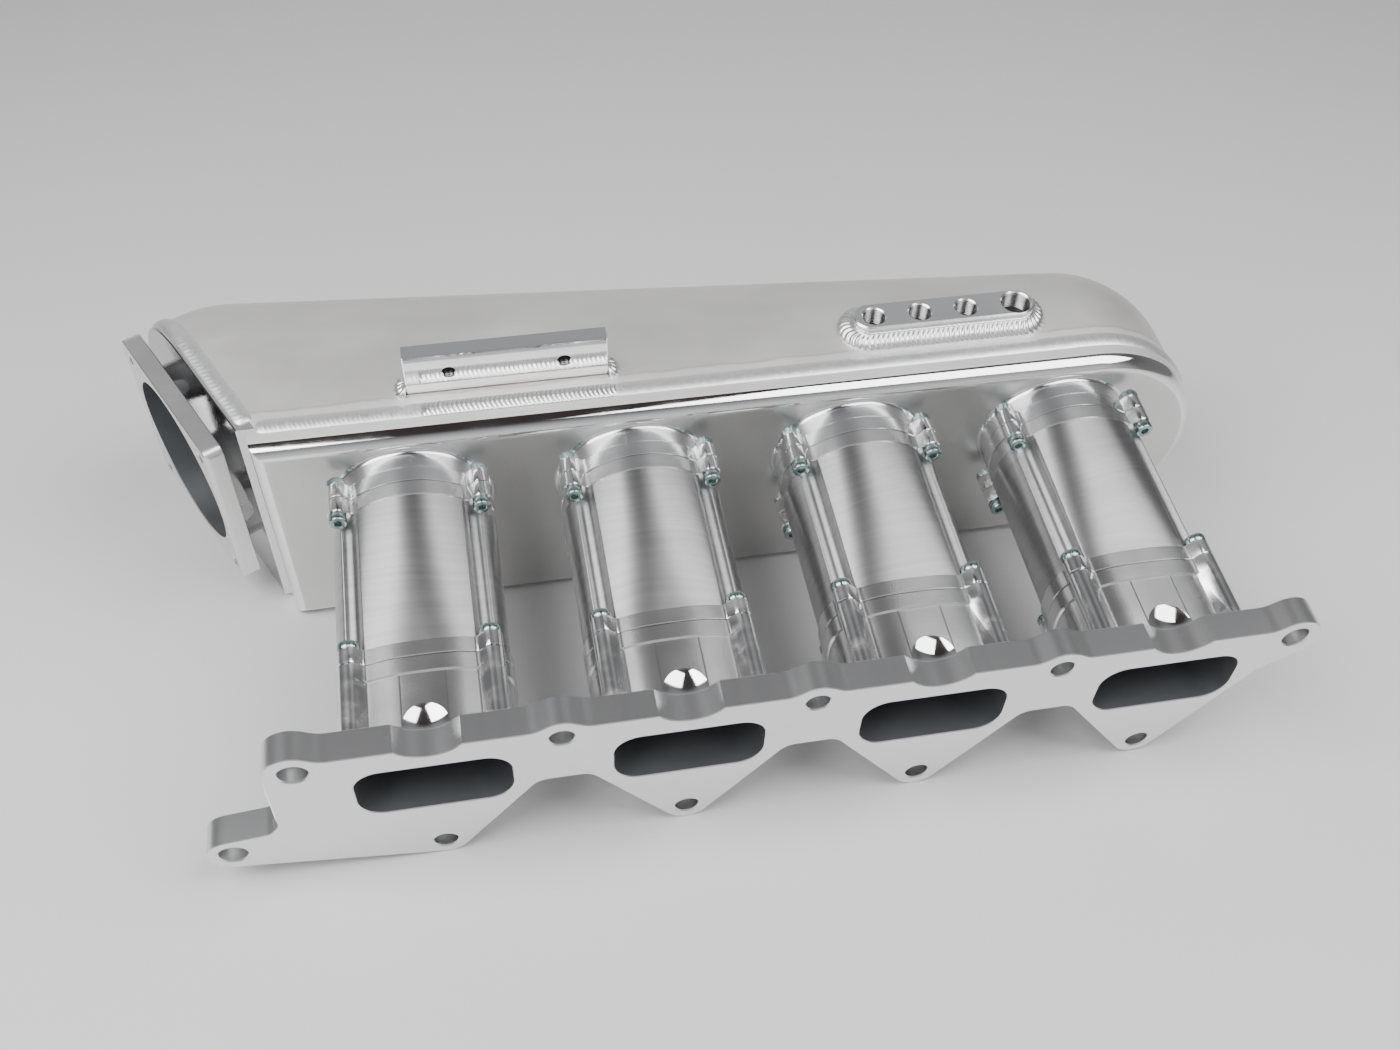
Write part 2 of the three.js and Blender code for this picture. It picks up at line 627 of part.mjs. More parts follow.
// End plate outline: the plenum's own D-section, square to the throttle flange.
function endPlateOutline() {
  const middle = new THREE.Vector3(plenumCorner.x, plenumCorner.y, 0)
    .sub(new THREE.Vector3(THROTTLE_FACE.x, THROTTLE_FACE.y, 0))
    .dot(throttleAxes.along);
  const front = THROTTLE_SIDE;
  const centreZ = PLENUM_Z - THROTTLE_FACE.z;
  const outline = [new THREE.Vector2(front, centreZ - SHELL_R), new THREE.Vector2(front, centreZ + SHELL_R)];
  for (let step = 0; step <= 2 * SHELL_QUARTER_STEPS; step += 1) {
    const angle = Math.PI / 2 + (Math.PI / 2) * (step / SHELL_QUARTER_STEPS);
    outline.push(new THREE.Vector2(
      middle + SHELL_R * Math.cos(angle),
      centreZ + SHELL_R * Math.sin(angle),
    ));
  }
  return outline;
}

function throttleFlange() {
  const half = THROTTLE_SIDE / 2;
  const neckBack = -THROTTLE_DEPTH + END_PLATE_THICKNESS;
  const neckLength = THROTTLE_DEPTH - THROTTLE_THICKNESS / 2;
  const neck = new THREE.CylinderGeometry(NECK_R, NECK_R, neckLength, THROTTLE_SEGMENTS);
  neck.rotateX(Math.PI / 2);
  neck.translate(0, 0, -THROTTLE_DEPTH / 2);
  neck.applyMatrix4(throttlePlace);
  const slabs = [
    throttleSlab(centredSquare(half, THROTTLE_CORNER_R), -THROTTLE_THICKNESS, 0),
    toSolid(neck),
    throttleSlab(endPlateOutline(), -THROTTLE_DEPTH, neckBack),
  ];
  const boreLength = 3 * THROTTLE_DEPTH;
  const bore = new THREE.CylinderGeometry(THROTTLE_BORE_R, THROTTLE_BORE_R, boreLength, THROTTLE_SEGMENTS);
  bore.rotateX(Math.PI / 2);
  bore.applyMatrix4(throttlePlace);
  const threads = cornerSigns.map(([sx, sy]) => {
    const radius = THROTTLE_THREAD_R;
    const thread = new THREE.CylinderGeometry(radius, radius, THROTTLE_DEPTH, HOLE_SEGMENTS);
    thread.rotateX(Math.PI / 2);
    thread.translate(sx * THROTTLE_BOLT_HALF, sy * THROTTLE_BOLT_HALF, 0);
    thread.applyMatrix4(throttlePlace);
    return toSolid(thread);
  });
  // the base plate stands in front, so nothing of the throttle flange comes forward of the sheet
  const plateSpace = new THREE.BoxGeometry(2 * SHELL_RUN, SHELL_RUN, SHELL_RUN);
  plateSpace.translate(THROTTLE_FACE.x, SHELL_START_Y - SHELL_RUN / 2, PLENUM_Z);
  return cut(join(slabs), [toSolid(bore), toSolid(plateSpace), ...threads]);
}

// Half-space outside the slanted end plane, used to trim the shell.
function beyondSeam(gap) {
  const box = new THREE.BoxGeometry(SHELL_RUN, SHELL_RUN, SHELL_RUN);
  box.translate(0, 0, SHELL_RUN / 2 - THROTTLE_DEPTH - gap);
  box.applyMatrix4(throttlePlace);
  return toSolid(box);
}

// ---- welded-on items ----------------------------------------------------------------------
function bracket() {
  const body = new THREE.BoxGeometry(BRACKET.length, BRACKET.thickness, BRACKET.height);
  const bottom = PLENUM_Z + PLENUM_R + JOINT_GAP / 2;
  body.translate(BRACKET.x, BRACKET.y, bottom + BRACKET.height / 2);
  const holes = [-1, 1].map((side) => barY(
    BRACKET.x + side * BRACKET.holeHalf,
    bottom + BRACKET.height / 2,
    BRACKET.holeR,
    BRACKET.y - BRACKET.thickness,
    BRACKET.y + BRACKET.thickness,
  ));
  return cut(toSolid(body), holes);
}

function barZ(x, y, radius, bottomZ, topZ) {
  const geometry = new THREE.CylinderGeometry(radius, radius, topZ - bottomZ, VACUUM_SEGMENTS);
  geometry.rotateX(Math.PI / 2);
  geometry.translate(x, y, (bottomZ + topZ) / 2);
  return toSolid(geometry);
}

// The four ports run down through the block and the sheet under it.
const vacuumHoles = () => VACUUM_PORTS.map(
  ({ x, r }) => barZ(x, VACUUM_PORT_Y, r, VACUUM_PORT_FOOT_Z, VACUUM_BLOCK.topZ + CUT_OVERRUN),
);

function vacuumBlock() {
  const { minX, maxX, minY, maxY, topZ } = VACUUM_BLOCK;
  const bottom = PLENUM_Z + PLENUM_R + JOINT_GAP / 2;
  const outline = stadium(minX, maxX, (minY + maxY) / 2, (maxY - minY) / 2);
  const geometry = new THREE.ExtrudeGeometry(new THREE.Shape(outline), {
    depth: topZ - bottom,
    bevelEnabled: false,
  });
  geometry.translate(0, 0, bottom);
  return cut(toSolid(geometry), vacuumHoles());
}

function plenumShell() {
  const inside = plenumBody(SHELL_R - SHELL_WALL, SHELL_START_Y - CUT_OVERRUN);
  return cut(plenumBody(SHELL_R, SHELL_START_Y), [inside, beyondSeam(JOINT_GAP), ...vacuumHoles()]);
}

// ---- assembly -----------------------------------------------------------------------------
const finishes = {
  milled: { color: 0xc9cacc, roughness: 0.32, metalness: 1 },
  turnedRunner: { color: 0xc2c3c7, roughness: 0.28, metalness: 1 },
  satinPlate: { color: 0xbfbdb8, roughness: 0.38, metalness: 1 },
  sheet: { color: 0xc4c1bb, roughness: 0.45, metalness: 1 },
  polished: { color: 0xd6d6d8, roughness: 0.12, metalness: 1 },
  zinc: { color: 0xa9b4b2, roughness: 0.35, metalness: 1 },
  seal: { color: 0x17181a, roughness: 0.7, metalness: 0 },
};

const manifold = new THREE.Group();

function addPart(name, geometry, finish) {
  const mesh = new THREE.Mesh(geometry, new THREE.MeshStandardMaterial(finishes[finish]));
  mesh.name = name;
  manifold.add(mesh);
  return mesh;
}

addPart('head_flange', toGeometry(headFlange()), 'milled');
addPart('base_plate', toGeometry(basePlate()), 'satinPlate');
addPart('plenum_shell', toGeometry(plenumShell()), 'sheet');
addPart('throttle_flange', toGeometry(throttleFlange()), 'satinPlate');
addPart('accessory_bracket', toGeometry(bracket()), 'polished');
addPart('vacuum_port_block', toGeometry(vacuumBlock()), 'milled');

const lowerFace = LOWER_JOINT_Y - JOINT_GAP / 2;
const upperFace = UPPER_JOINT_Y - JOINT_GAP / 2;
const cornerNames = ['upper_left', 'upper_right', 'lower_left', 'lower_right'];
runnerIndices.forEach((index) => {
  const number = index + 1;
  const x = runnerX(index);
  addPart(`runner_${number}`, toGeometry(runner(x)), 'turnedRunner');
  addPart(
    `port_seal_${number}`,
    toGeometry(ringTube(x, lowerFace - SEAL.height, lowerFace, port(SEAL.portOuter), port(SEAL.portInner))),
    'seal',
  );
  const runnerSeal = [circle(SEAL.runnerOuter), circle(SEAL.runnerInner)];
  addPart(
    `runner_seal_${number}`,
    toGeometry(ringTube(x, upperFace - SEAL.height, upperFace, ...runnerSeal)),
    'seal',
  );
  cornerSigns.forEach(([sx, sz], corner) => {
    const screw = addPart(`port_screw_${number}_${cornerNames[corner]}`, lowHeadScrew(), 'zinc');
    screw.position.set(x + sx * LOWER_EAR.x, LOWER_EAR_END_Y, sz * LOWER_EAR.z);
    const bolt = addPart(`runner_bolt_${number}_${cornerNames[corner]}`, capScrewWithNut(), 'zinc');
    bolt.position.set(x + sx * UPPER_EAR.x, UPPER_EAR_START_Y, sz * UPPER_EAR.z);
  });
});

export default manifold;
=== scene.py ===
"""Intake manifold: fine surfaces, materials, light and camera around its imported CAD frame.

Sizes are in millimetres, and meshes are scaled to metres when they are made.
"""
import math

import bmesh
import bpy
import numpy as np
from mathutils import Matrix, Vector
from mathutils.geometry import tessellate_polygon


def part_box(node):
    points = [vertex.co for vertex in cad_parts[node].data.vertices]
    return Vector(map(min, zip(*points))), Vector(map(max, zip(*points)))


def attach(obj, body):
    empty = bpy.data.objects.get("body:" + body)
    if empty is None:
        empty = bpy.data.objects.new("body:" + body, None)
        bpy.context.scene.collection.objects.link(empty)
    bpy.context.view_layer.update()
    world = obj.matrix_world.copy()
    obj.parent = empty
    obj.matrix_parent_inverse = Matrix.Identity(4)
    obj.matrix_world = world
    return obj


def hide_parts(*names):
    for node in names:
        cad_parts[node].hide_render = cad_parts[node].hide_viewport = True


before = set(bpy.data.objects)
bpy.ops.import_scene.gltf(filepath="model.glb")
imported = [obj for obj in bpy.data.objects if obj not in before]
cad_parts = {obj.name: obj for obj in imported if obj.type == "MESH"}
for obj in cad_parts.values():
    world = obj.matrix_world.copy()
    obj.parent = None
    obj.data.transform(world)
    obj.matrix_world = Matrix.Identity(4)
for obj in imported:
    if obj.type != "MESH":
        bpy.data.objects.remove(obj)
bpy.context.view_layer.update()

MM = 0.001
ROOT = "root"
TURN = 2 * math.pi


def box_mm(node):
    """Lowest and highest corners of a CAD node, in millimetres."""
    low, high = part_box(node)
    return np.array(low) / MM, np.array(high) / MM


# ---- driving sizes, most of them read from the frame ------------------------------------------
JOINT_GAP = 0.3
RUNNERS = range(1, 5)
runner_boxes = [box_mm(f"runner_{n}") for n in RUNNERS]
runner_x = [(low[0] + high[0]) / 2 for low, high in runner_boxes]
bore_pitch = (runner_x[-1] - runner_x[0]) / (len(runner_x) - 1)
lower_face = runner_boxes[0][0][1]
upper_face = runner_boxes[0][1][1]
lower_joint = lower_face - JOINT_GAP / 2
upper_joint = upper_face + JOINT_GAP / 2

flange_low = box_mm("head_flange")[0]
FLANGE_THICKNESS = 12
FLANGE_TOP = 26.4
STUD_ROW_Z = 20.8
STUD_BOSS_R = 9.8
LUG_ROW_Z = -41.7
LUG_R = 9
VALLEY_Z = -6.5
LUG_SLOPE = math.tan(math.radians(53.7))
CORNER_STUD_X = flange_low[0] + 9.5
CORNER_STUD_Z = -29.5
STUD_HOLE_R = 4.5
WIDE_HOLE_R = 5.25
INJECTOR_R = 16.2
INJECTOR_BOTTOM_Z = 21.1
EDGE_BREAK = 0.35

STUB = (32.4, 23.6, 2.7)
STUB_BAND = (33.2, 24.4, 2.7)
RUNNER_TOP = (32.9, 29.7, 2)
PLATE_NECK = (32.2, 29, 2)
PORT = (28.1, 14.15, 10)
BORE_R = 25.5
LOWER_EAR = (25.9, 21.1, 4.3)
UPPER_EAR = (28.1, 21.0, 3.95)
LOWER_EAR_END = 47.6
UPPER_EAR_START = 113.3
PLATE_EAR_END = 127.7
DRIVER_CHANNEL_R = 5.2
SEAL_GROOVE_DEPTH = 1.7
# outer and inner edge of the seals' grooves: clear of the port, and round the bore
PORT_GROOVE = (3.3, 1.1)
RUNNER_GROOVE_R = (28.7, 26.4)
BOLT_HOLE_R = 2.5
# pitch and depth of a thread; a depth below zero narrows the hole
BOLT_THREAD = (1.0, 0.35)
PIPE_THREAD = (0.94, -0.55)

plate_low, plate_high = box_mm("base_plate")
PLATE_FRONT = 136.4
PLATE_ROUNDOVER = 7
plate_back = plate_high[1]
plenum_z = (plate_low[2] + plate_high[2]) / 2
plenum_r = (plate_high[2] - plate_low[2]) / 2
plenum_end_x = plate_high[0] - plenum_r
MOUTH_FLARE = 5.5

shell_low, shell_high = box_mm("plenum_shell")
shell_start = shell_low[1]
shell_r = (shell_high[2] - shell_low[2]) / 2
SHELL_WALL = 3
SHELL_BACK = 174
SHELL_TAPER = math.atan(0.0845)
SHELL_RUN = 370

THROTTLE_ANGLE = math.radians(26.5)
THROTTLE_CENTRE = np.array([-237.5, 187, -17.2])
THROTTLE_HALF = 41.5
THROTTLE_BORE_R = 37.5
THROTTLE_THICKNESS = 8
THROTTLE_DEPTH = 20
END_PLATE_THICKNESS = 6.5
THROTTLE_BOLT_HALF = 34.5
# how far past the start of the end plate the neck's painted dark reflection runs
NECK_DARK_PAST = 0.6

bracket_low, bracket_high = box_mm("accessory_bracket")
BRACKET_HOLE_HALF = 23.4
block_low, block_high = box_mm("vacuum_port_block")
VACUUM_Y = 170.6
VACUUM_PORTS = ((62, 4.8), (82.3, 4.8), (102.8, 4.8), (125.3, 6.3))

# directions of a section's points: closest together round the screw columns
COLUMN_START, COLUMN_END = math.radians(26), math.radians(50)
DIRECTION_RUNS = (
    (0, COLUMN_START, 26),
    (COLUMN_START, COLUMN_END, 84),
    (COLUMN_END, math.pi / 2, 32),
)
QUADRANT = np.concatenate([np.linspace(*run, endpoint=False) for run in DIRECTION_RUNS])
MIRRORED = math.pi - QUADRANT[:0:-1]
HALF_TURN = np.concatenate([QUADRANT, [math.pi / 2], MIRRORED])
ANGLES = np.concatenate([HALF_TURN, HALF_TURN + math.pi])
POINTS = len(ANGLES)


# ---- mesh tools -------------------------------------------------------------------------------
def linked(name, data):
    """New object with the given data, in the scene."""
    obj = bpy.data.objects.new(name, data)
    bpy.context.scene.collection.objects.link(obj)
    return obj


def to_object(name, points, faces):
    """Mesh object from points in millimetres."""
    mesh = bpy.data.meshes.new(name)
    mesh.from_pydata((np.asarray(points, float) * MM).tolist(), [], faces)
    mesh.validate()
    return linked(name, mesh)


def join(name, objects):
    """One object holding all the given ones' meshes."""
    points, faces = [], []
    for obj in objects:
        offset = len(points)
        points += [tuple(v.co / MM) for v in obj.data.vertices]
        faces += [[offset + v for v in f.vertices] for f in obj.data.polygons]
        drop(obj)
    return to_object(name, points, faces)


def drop(obj):
    mesh = obj.data
    bpy.data.objects.remove(obj)
    bpy.data.meshes.remove(mesh)


def boolean(obj, tool, operation):
    """obj with tool joined to it or cut out of it; tool is used up."""
    modifier = obj.modifiers.new("boolean", "BOOLEAN")
    modifier.operation = operation
    modifier.solver = "MANIFOLD"
    modifier.object = tool
    graph = bpy.context.evaluated_depsgraph_get()
    mesh = bpy.data.meshes.new_from_object(obj.evaluated_get(graph))
    obj.modifiers.clear()
    old, obj.data = obj.data, mesh
    bpy.data.meshes.remove(old)
    mesh.name = obj.name
    drop(tool)
    return obj


def cut(obj, tools):
    return boolean(obj, join("tools", tools), "DIFFERENCE")


def unite(obj, tools):
    return boolean(obj, join("tools", tools), "UNION")


def stack(name, rings, closed=False):
    """Surface through rings of equal point counts: a tube closed on itself, or one with two end caps."""
    rings = [np.asarray(ring, float) for ring in rings]
    count = len(rings[0])
    faces = []
    for level in range(len(rings) if closed else len(rings) - 1):
        first = level * count
        second = ((level + 1) % len(rings)) * count
        faces += [
            [first + k, first + (k + 1) % count, second + (k + 1) % count, second + k] for k in range(count)
        ]
    if not closed:
        faces.append(list(range(count))[::-1])
        faces.append([(len(rings) - 1) * count + k for k in range(count)])
    obj = to_object(name, np.concatenate(rings), faces)
    fix_normals(obj)
    return obj


def fix_normals(obj):
    """Turns a closed mesh's faces outwards."""
    mesh = obj.data
    mesh.calc_loop_triangles()
    corners = np.array([[mesh.vertices[v].co for v in t.vertices] for t in mesh.loop_triangles])
    volume = np.einsum("ij,ij->i", corners[:, 0], np.cross(corners[:, 1], corners[:, 2])).sum()
    if volume < 0:
        mesh.flip_normals()


def smooth(obj, degrees=30):
    obj.data.shade_smooth()
    obj.data.set_sharp_from_angle(angle=math.radians(degrees))
    return obj


# ---- outlines ---------------------------------------------------------------------------------
def rounded(corners, step_degrees=6):
    """Polygon from (x, y, radius) corners, each rounded by an arc."""
    points = []
    count = len(corners)
    for k, (x, y, radius) in enumerate(corners):
        corner = np.array([x, y], float)
        if radius == 0:
            points.append(corner)
            continue
        before = np.array(corners[k - 1][:2]) - corner
        after = np.array(corners[(k + 1) % count][:2]) - corner
        before /= np.linalg.norm(before)
        after /= np.linalg.norm(after)
        half = math.acos(np.clip(before @ after, -1, 1)) / 2
        middle = (before + after) / np.linalg.norm(before + after)
        centre = corner + middle * radius / math.sin(half)
        first = corner + before * radius / math.tan(half) - centre
        turn = math.pi - 2 * half
        side = math.copysign(1, -(before[0] * after[1] - before[1] * after[0]))
        steps = max(1, round(math.degrees(turn) / step_degrees))
        for step in range(steps + 1):
            angle = side * turn * step / steps
            c, s = math.cos(angle), math.sin(angle)
            points.append(centre + np.array([c * first[0] - s * first[1], s * first[0] + c * first[1]]))
    return np.array(points)


def signed_area(outline):
    x, y = outline[:, 0], outline[:, 1]
    return 0.5 * (x @ np.roll(y, -1) - y @ np.roll(x, -1))


def inset(outline, distance):
    """Outline moved inwards by a small distance; it has to run anticlockwise."""
    ahead = np.roll(outline, -1, axis=0) - outline
    ahead /= np.linalg.norm(ahead, axis=1)[:, None]
    behind = np.roll(ahead, 1, axis=0)
    normals = np.stack([-ahead[:, 1] - behind[:, 1], ahead[:, 0] + behind[:, 0]], axis=1)
    normals /= np.maximum(np.einsum("ij,ij->i", normals, normals), 0.5)[:, None] / 2
    return outline + normals * distance


def polar(x, y, radii):
    """Ring round (x, y, 0) in the plane of constant y, its radius given for each of ANGLES."""
    radii = np.broadcast_to(radii, ANGLES.shape)
    return np.stack([x + radii * np.cos(ANGLES), np.full(POINTS, y), radii * np.sin(ANGLES)], axis=1)


def oval(half_width, half_height, power, grow=0.0):
    c = np.abs(np.cos(ANGLES)) / (half_width + grow)
    s = np.abs(np.sin(ANGLES)) / (half_height + grow)
    return (c ** power + s ** power) ** (-1 / power)


def rounded_rectangle(half_width, half_height, corner, grow=0.0):
    half_width, half_height, corner = half_width + grow, half_height + grow, corner + grow
    c, s = np.abs(np.cos(ANGLES)), np.abs(np.sin(ANGLES))
    centre_x, centre_y = half_width - corner, half_height - corner
    along = centre_x * c + centre_y * s
    arc = along + np.sqrt(np.maximum(along ** 2 - centre_x ** 2 - centre_y ** 2 + corner ** 2, 0))
    flat_side = half_width * s <= centre_y * c
    flat_top = half_height * c <= centre_x * s
    radii = np.where(flat_top, half_height / np.maximum(s, 1e-9), arc)
    return np.where(flat_side, half_width / np.maximum(c, 1e-9), radii)


def soft_min(a, b, size):
    """Smaller of two distances, with a round fillet of the given size between them."""
    h = np.clip(0.5 + 0.5 * (b - a) / size, 0, 1)
    return b * (1 - h) + a * h - size * h * (1 - h)


def section(body, ears=None, fillet=2.5, web=0.0, channels=None, crisp=0.4):
    """Radii of a runner's outline: body radii, with four round ears filleted on or channels cut in.

    ears and channels are (x, z, radius); web is the half width of the arm that carries an ear.
    """
    low, high = np.full(POINTS, 10.0), np.full(POINTS, 60.0)
    c, s = np.abs(np.cos(ANGLES)), np.abs(np.sin(ANGLES))
    for _ in range(26):
        radius = (low + high) / 2
        x, z = radius * c, radius * s
        distance = radius - body
        if ears:
            ear_x, ear_z, ear_r = ears
            ear = np.hypot(x - ear_x, z - ear_z) - ear_r
            if web:
                reach = math.hypot(ear_x, ear_z)
                along = (x * ear_x + z * ear_z) / reach
                across = np.abs(x * ear_z - z * ear_x) / reach
                arm = np.maximum(across - web, along - reach)
                ear = soft_min(ear, arm, 1.2)
            distance = soft_min(distance, ear, fillet)
        if channels:
            channel_x, channel_z, channel_r = channels
            groove = np.hypot(x - channel_x, z - channel_z) - channel_r
            distance = -soft_min(-distance, groove, crisp)
        outside = distance > 0
        high = np.where(outside, radius, high)
        low = np.where(outside, low, radius)
    return (low + high) / 2


def lower_section(body):
    """Body radii with the lower joint's screw columns on them."""
    return section(body, LOWER_EAR, fillet=3.0)


def upper_section(body):
    """Body radii with the upper joint's columns, each on its own arm."""
    return section(body, UPPER_EAR, fillet=2.6, web=2.6)


def banded(x, start, end, radii, first=EDGE_BREAK, last=EDGE_BREAK):
    """Rings of a band whose two rims are broken by first and last."""
    levels = ((start, first), (start + first, 0), (end - last, 0), (end, last))
    return [polar(x, y, radii - pull) for y, pull in levels]


# ---- solids -----------------------------------------------------------------------------------
def prism(name, outline, levels, place):
    """Solid through an outline at (height, inset) levels; place turns (outline points, height) into xyz."""
    outline = np.array(outline)
    if signed_area(outline) < 0:
        outline = outline[::-1]
    rings = [place(inset(outline, pull) if pull else outline, height) for height, pull in levels]
    count = len(outline)
    faces = []
    for level in range(len(rings) - 1):
        for k in range(count):
            a, b = level * count + k, level * count + (k + 1) % count
            faces.append([a, b, b + count, a + count])
    cap = tessellate_polygon([[Vector((p[0], p[1], 0)) for p in outline]])
    last = (len(rings) - 1) * count
    faces += [list(t) for t in cap]
    faces += [[last + k for k in t][::-1] for t in cap]
    obj = to_object(name, np.concatenate(rings), faces)
    return repaired(obj)


def repaired(obj):
    """Makes face directions agree, facing outwards."""
    shape = bmesh.new()
    shape.from_mesh(obj.data)
    bmesh.ops.recalc_face_normals(shape, faces=shape.faces)
    shape.to_mesh(obj.data)
    shape.free()
    fix_normals(obj)
    return obj


def in_xz(points, y):
    return np.stack([points[:, 0], np.full(len(points), y), points[:, 1]], axis=1)


def in_xy(points, z):
    return np.stack([points[:, 0], points[:, 1], np.full(len(points), z)], axis=1)


def broken(start, end, size=EDGE_BREAK):
    """Levels of a prism whose two rims are broken by a small chamfer."""
    return [(start, size), (start + size, 0), (end - size, 0), (end, size)]


def round_bar(name, centre, axis, profile, count=48, thread=None):
    """Solid of revolution: profile of (height along axis, radius); thread is (pitch, depth, first, last)."""
    axis = Vector(axis).normalized()
    side = axis.orthogonal().normalized()
    other = axis.cross(side)
    angles = np.arange(count) * TURN / count
    pitch, depth, first, last = thread or (1, 0, 0, 0)
    if thread:
        steps = max(2, round((last - first) / pitch * 8))
        spiral = np.linspace(first, last, steps + 1)
        base = np.interp(spiral, *zip(*profile))
        profile = [level for level in profile if not first < level[0] < last] + list(zip(spiral, base))
        profile.sort(key=lambda level: level[0])
    rings = []
    for height, radius in profile:
        around = np.full(count, radius)
        if first < height < last:
            phase = (height / pitch + angles / TURN) % 1
            around = radius + depth * np.abs(2 * phase - 1)
        ring = np.outer(around * np.cos(angles), side) + np.outer(around * np.sin(angles), other)
        rings.append(ring + np.array(centre) + np.array(axis) * height)
    return stack(name, rings)


# ---- materials --------------------------------------------------------------------------------
class Nodes:
    """Short way to write a node material."""

    def __init__(self, name):
        self.material = bpy.data.materials.new(name)
        self.material.use_nodes = True
        self.tree = self.material.node_tree
        self.shader = self.tree.nodes["Principled BSDF"]
        self.place = self.add("ShaderNodeTexCoord").outputs["Object"]

    def add(self, kind, inputs=None, **settings):
        node = self.tree.nodes.new(kind)
        for key, value in settings.items():
            setattr(node, key, value)
        for key, value in (inputs or {}).items():
            self.put(value, node.inputs[key])
        return node

    def put(self, value, socket):
        if isinstance(value, bpy.types.NodeSocket):
            self.tree.links.new(value, socket)
        else:
            socket.default_value = value

    def math(self, operation, a, b=0.0):
        return self.add("ShaderNodeMath", {0: a, 1: b}, operation=operation).outputs[0]

    def plus(self, a, b, share):
        """a + b * share"""
        return self.math("ADD", a, self.math("MULTIPLY", b, share))

    def noise(self, scale, detail=3.0, roughness=0.55, offset=(0, 0, 0)):
        """Noise with one scale or one for each axis, in cycles per millimetre."""
        factors = (np.broadcast_to(scale, 3) / MM).tolist()
        mapping = self.add("ShaderNodeMapping", {0: self.place, "Scale": factors, "Location": offset})
        inputs = {"Vector": mapping.outputs[0], "Scale": 1.0, "Detail": detail, "Roughness": roughness}
        return self.add("ShaderNodeTexNoise", inputs).outputs[0]

    def axes(self):
        """Object coordinates in millimetres, as three sockets."""
        split = self.add("ShaderNodeSeparateXYZ", {0: self.place})
        return [self.math("MULTIPLY", split.outputs[k], 1 / MM) for k in range(3)]

    def span(self, value, low, high, new_low=0.0, new_high=1.0):
        inputs = {"Value": value, "From Min": low, "From Max": high, "To Min": new_low, "To Max": new_high}
        return self.add("ShaderNodeMapRange", inputs).outputs[0]

    def mix(self, share, a, b):
        """Colour mix."""
        node = self.add("ShaderNodeMix", data_type="RGBA")
        for key, value in ((0, share), (6, a), (7, b)):
            self.put(value, node.inputs[key])
        return node.outputs[2]

    def finish(self, colour, roughness, relief=None, depth=0.0, metallic=1.0, **inputs):
        """The finished material; relief is a height for its bump, depth the bump's size in millimetres."""
        inputs |= {"Base_Color": colour, "Roughness": roughness, "Metallic": metallic}
        if relief is not None:
            bump = self.add("ShaderNodeBump", {"Height": relief, "Distance": depth * MM, "Strength": 1.0})
            inputs["Normal"] = bump.outputs[0]
        for key, value in inputs.items():
            self.put(value, self.shader.inputs[key.replace("_", " ")])
        return self.material


def grey(value, warmth=0.0):
    """Neutral colour; warmth above zero leans to straw, below zero to blue."""
    return (value * (1 + warmth), value, value * (1 - warmth), 1)


GROOVES_AROUND = (0.0, 1.0, 0.0)
# heights where one pass of a face mill ends and the next begins, as (low, high) of each step
FLANGE_PASSES = ((-22.9, -22.5), (7.3, 7.7))
PLATE_PASS = -46.0
# middle and reach of the mill's arcs below and above that pass
LOWER_ARCS, UPPER_ARCS = (-66.0, 30.0), (-8.0, 52.0)
# distances along Y on the sheet: the tint line, and the end of the whitened strip
TINT_LINE = 159.5
WHITENED = (158.0, 160.0)


def brushed(n, spread, across=False):
    """Stretches highlights along Y, square to tool lines that run round; across turns them 90 degrees."""
    tangent = n.add("ShaderNodeCombineXYZ", dict(enumerate(GROOVES_AROUND))).outputs[0]
    return {"Anisotropic": spread, "Anisotropic_Rotation": 0.25 if across else 0.0, "Tangent": tangent}


def milled_face():
    """Face-milled surface: soft sweeps and the faint edges of two level passes."""
    n = Nodes("milled_face")
    sweep = n.noise((0.05, 1.0, 1.6), detail=4, roughness=0.7)
    z = n.axes()[2]
    pass_edges = n.math("ADD", *(n.span(z, *edge) for edge in FLANGE_PASSES))
    smear = n.noise((0.03, 0.1, 0.03), detail=4)
    height = n.plus(sweep, pass_edges, 0.9)
    colour = n.mix(smear, grey(0.74, 0.006), grey(0.88))
    return n.finish(colour, n.span(smear, 0.35, 0.65, 0.40, 0.50), height, 0.03)


def milled_edge():
    """Side-milled outline, with fine lines along the cutter's axis."""
    n = Nodes("milled_edge")
    fine = n.noise((2.4, 0.03, 2.4), detail=2)
    wide = n.noise((0.22, 0.004, 0.22), detail=2, offset=(3, 1, 2))
    height = n.plus(fine, wide, 1.5)
    colour = n.mix(wide, grey(0.74, -0.02), grey(0.84, 0.012))
    return n.finish(colour, 0.27, height, 0.012, **brushed(n, 0.7, across=True))


def tool_lines(n, per_mm, wander, drift=(0.02, 0.015, 0.02), offset=(0, 0, 0)):
    """Noise in fine lines round the part, which wander slowly up and down."""
    x, y, z = n.axes()
    slow = n.noise(drift, detail=2, offset=offset)
    level = n.math("ADD", n.math("MULTIPLY", y, per_mm), n.math("MULTIPLY", slow, wander))
    far_x, far_z = n.math("MULTIPLY", x, 0.02), n.math("MULTIPLY", z, 0.02)
    place = n.add("ShaderNodeCombineXYZ", {0: far_x, 1: level, 2: far_z})
    return n.add("ShaderNodeTexNoise", {"Vector": place.outputs[0], "Scale": 1.0, "Detail": 2.0}).outputs[0]


def turned_runner():
    """Ball-nose tool lines that wander slightly round the runner."""
    n = Nodes("runner_surface")
    fine = tool_lines(n, 1.7, 9.0)
    fans = tool_lines(n, 0.55, 16.0, (0.011, 0.01, 0.011), (5, 2, 1))
    height = n.plus(fine, fans, 0.7)
    colour = n.mix(fans, grey(0.42, 0.008), grey(0.62, -0.004))
    roughness = n.span(n.axes()[1], LOWER_EAR_END, UPPER_EAR_START, 0.44, 0.31)
    return n.finish(colour, roughness, height, 0.026, **brushed(n, 0.93))


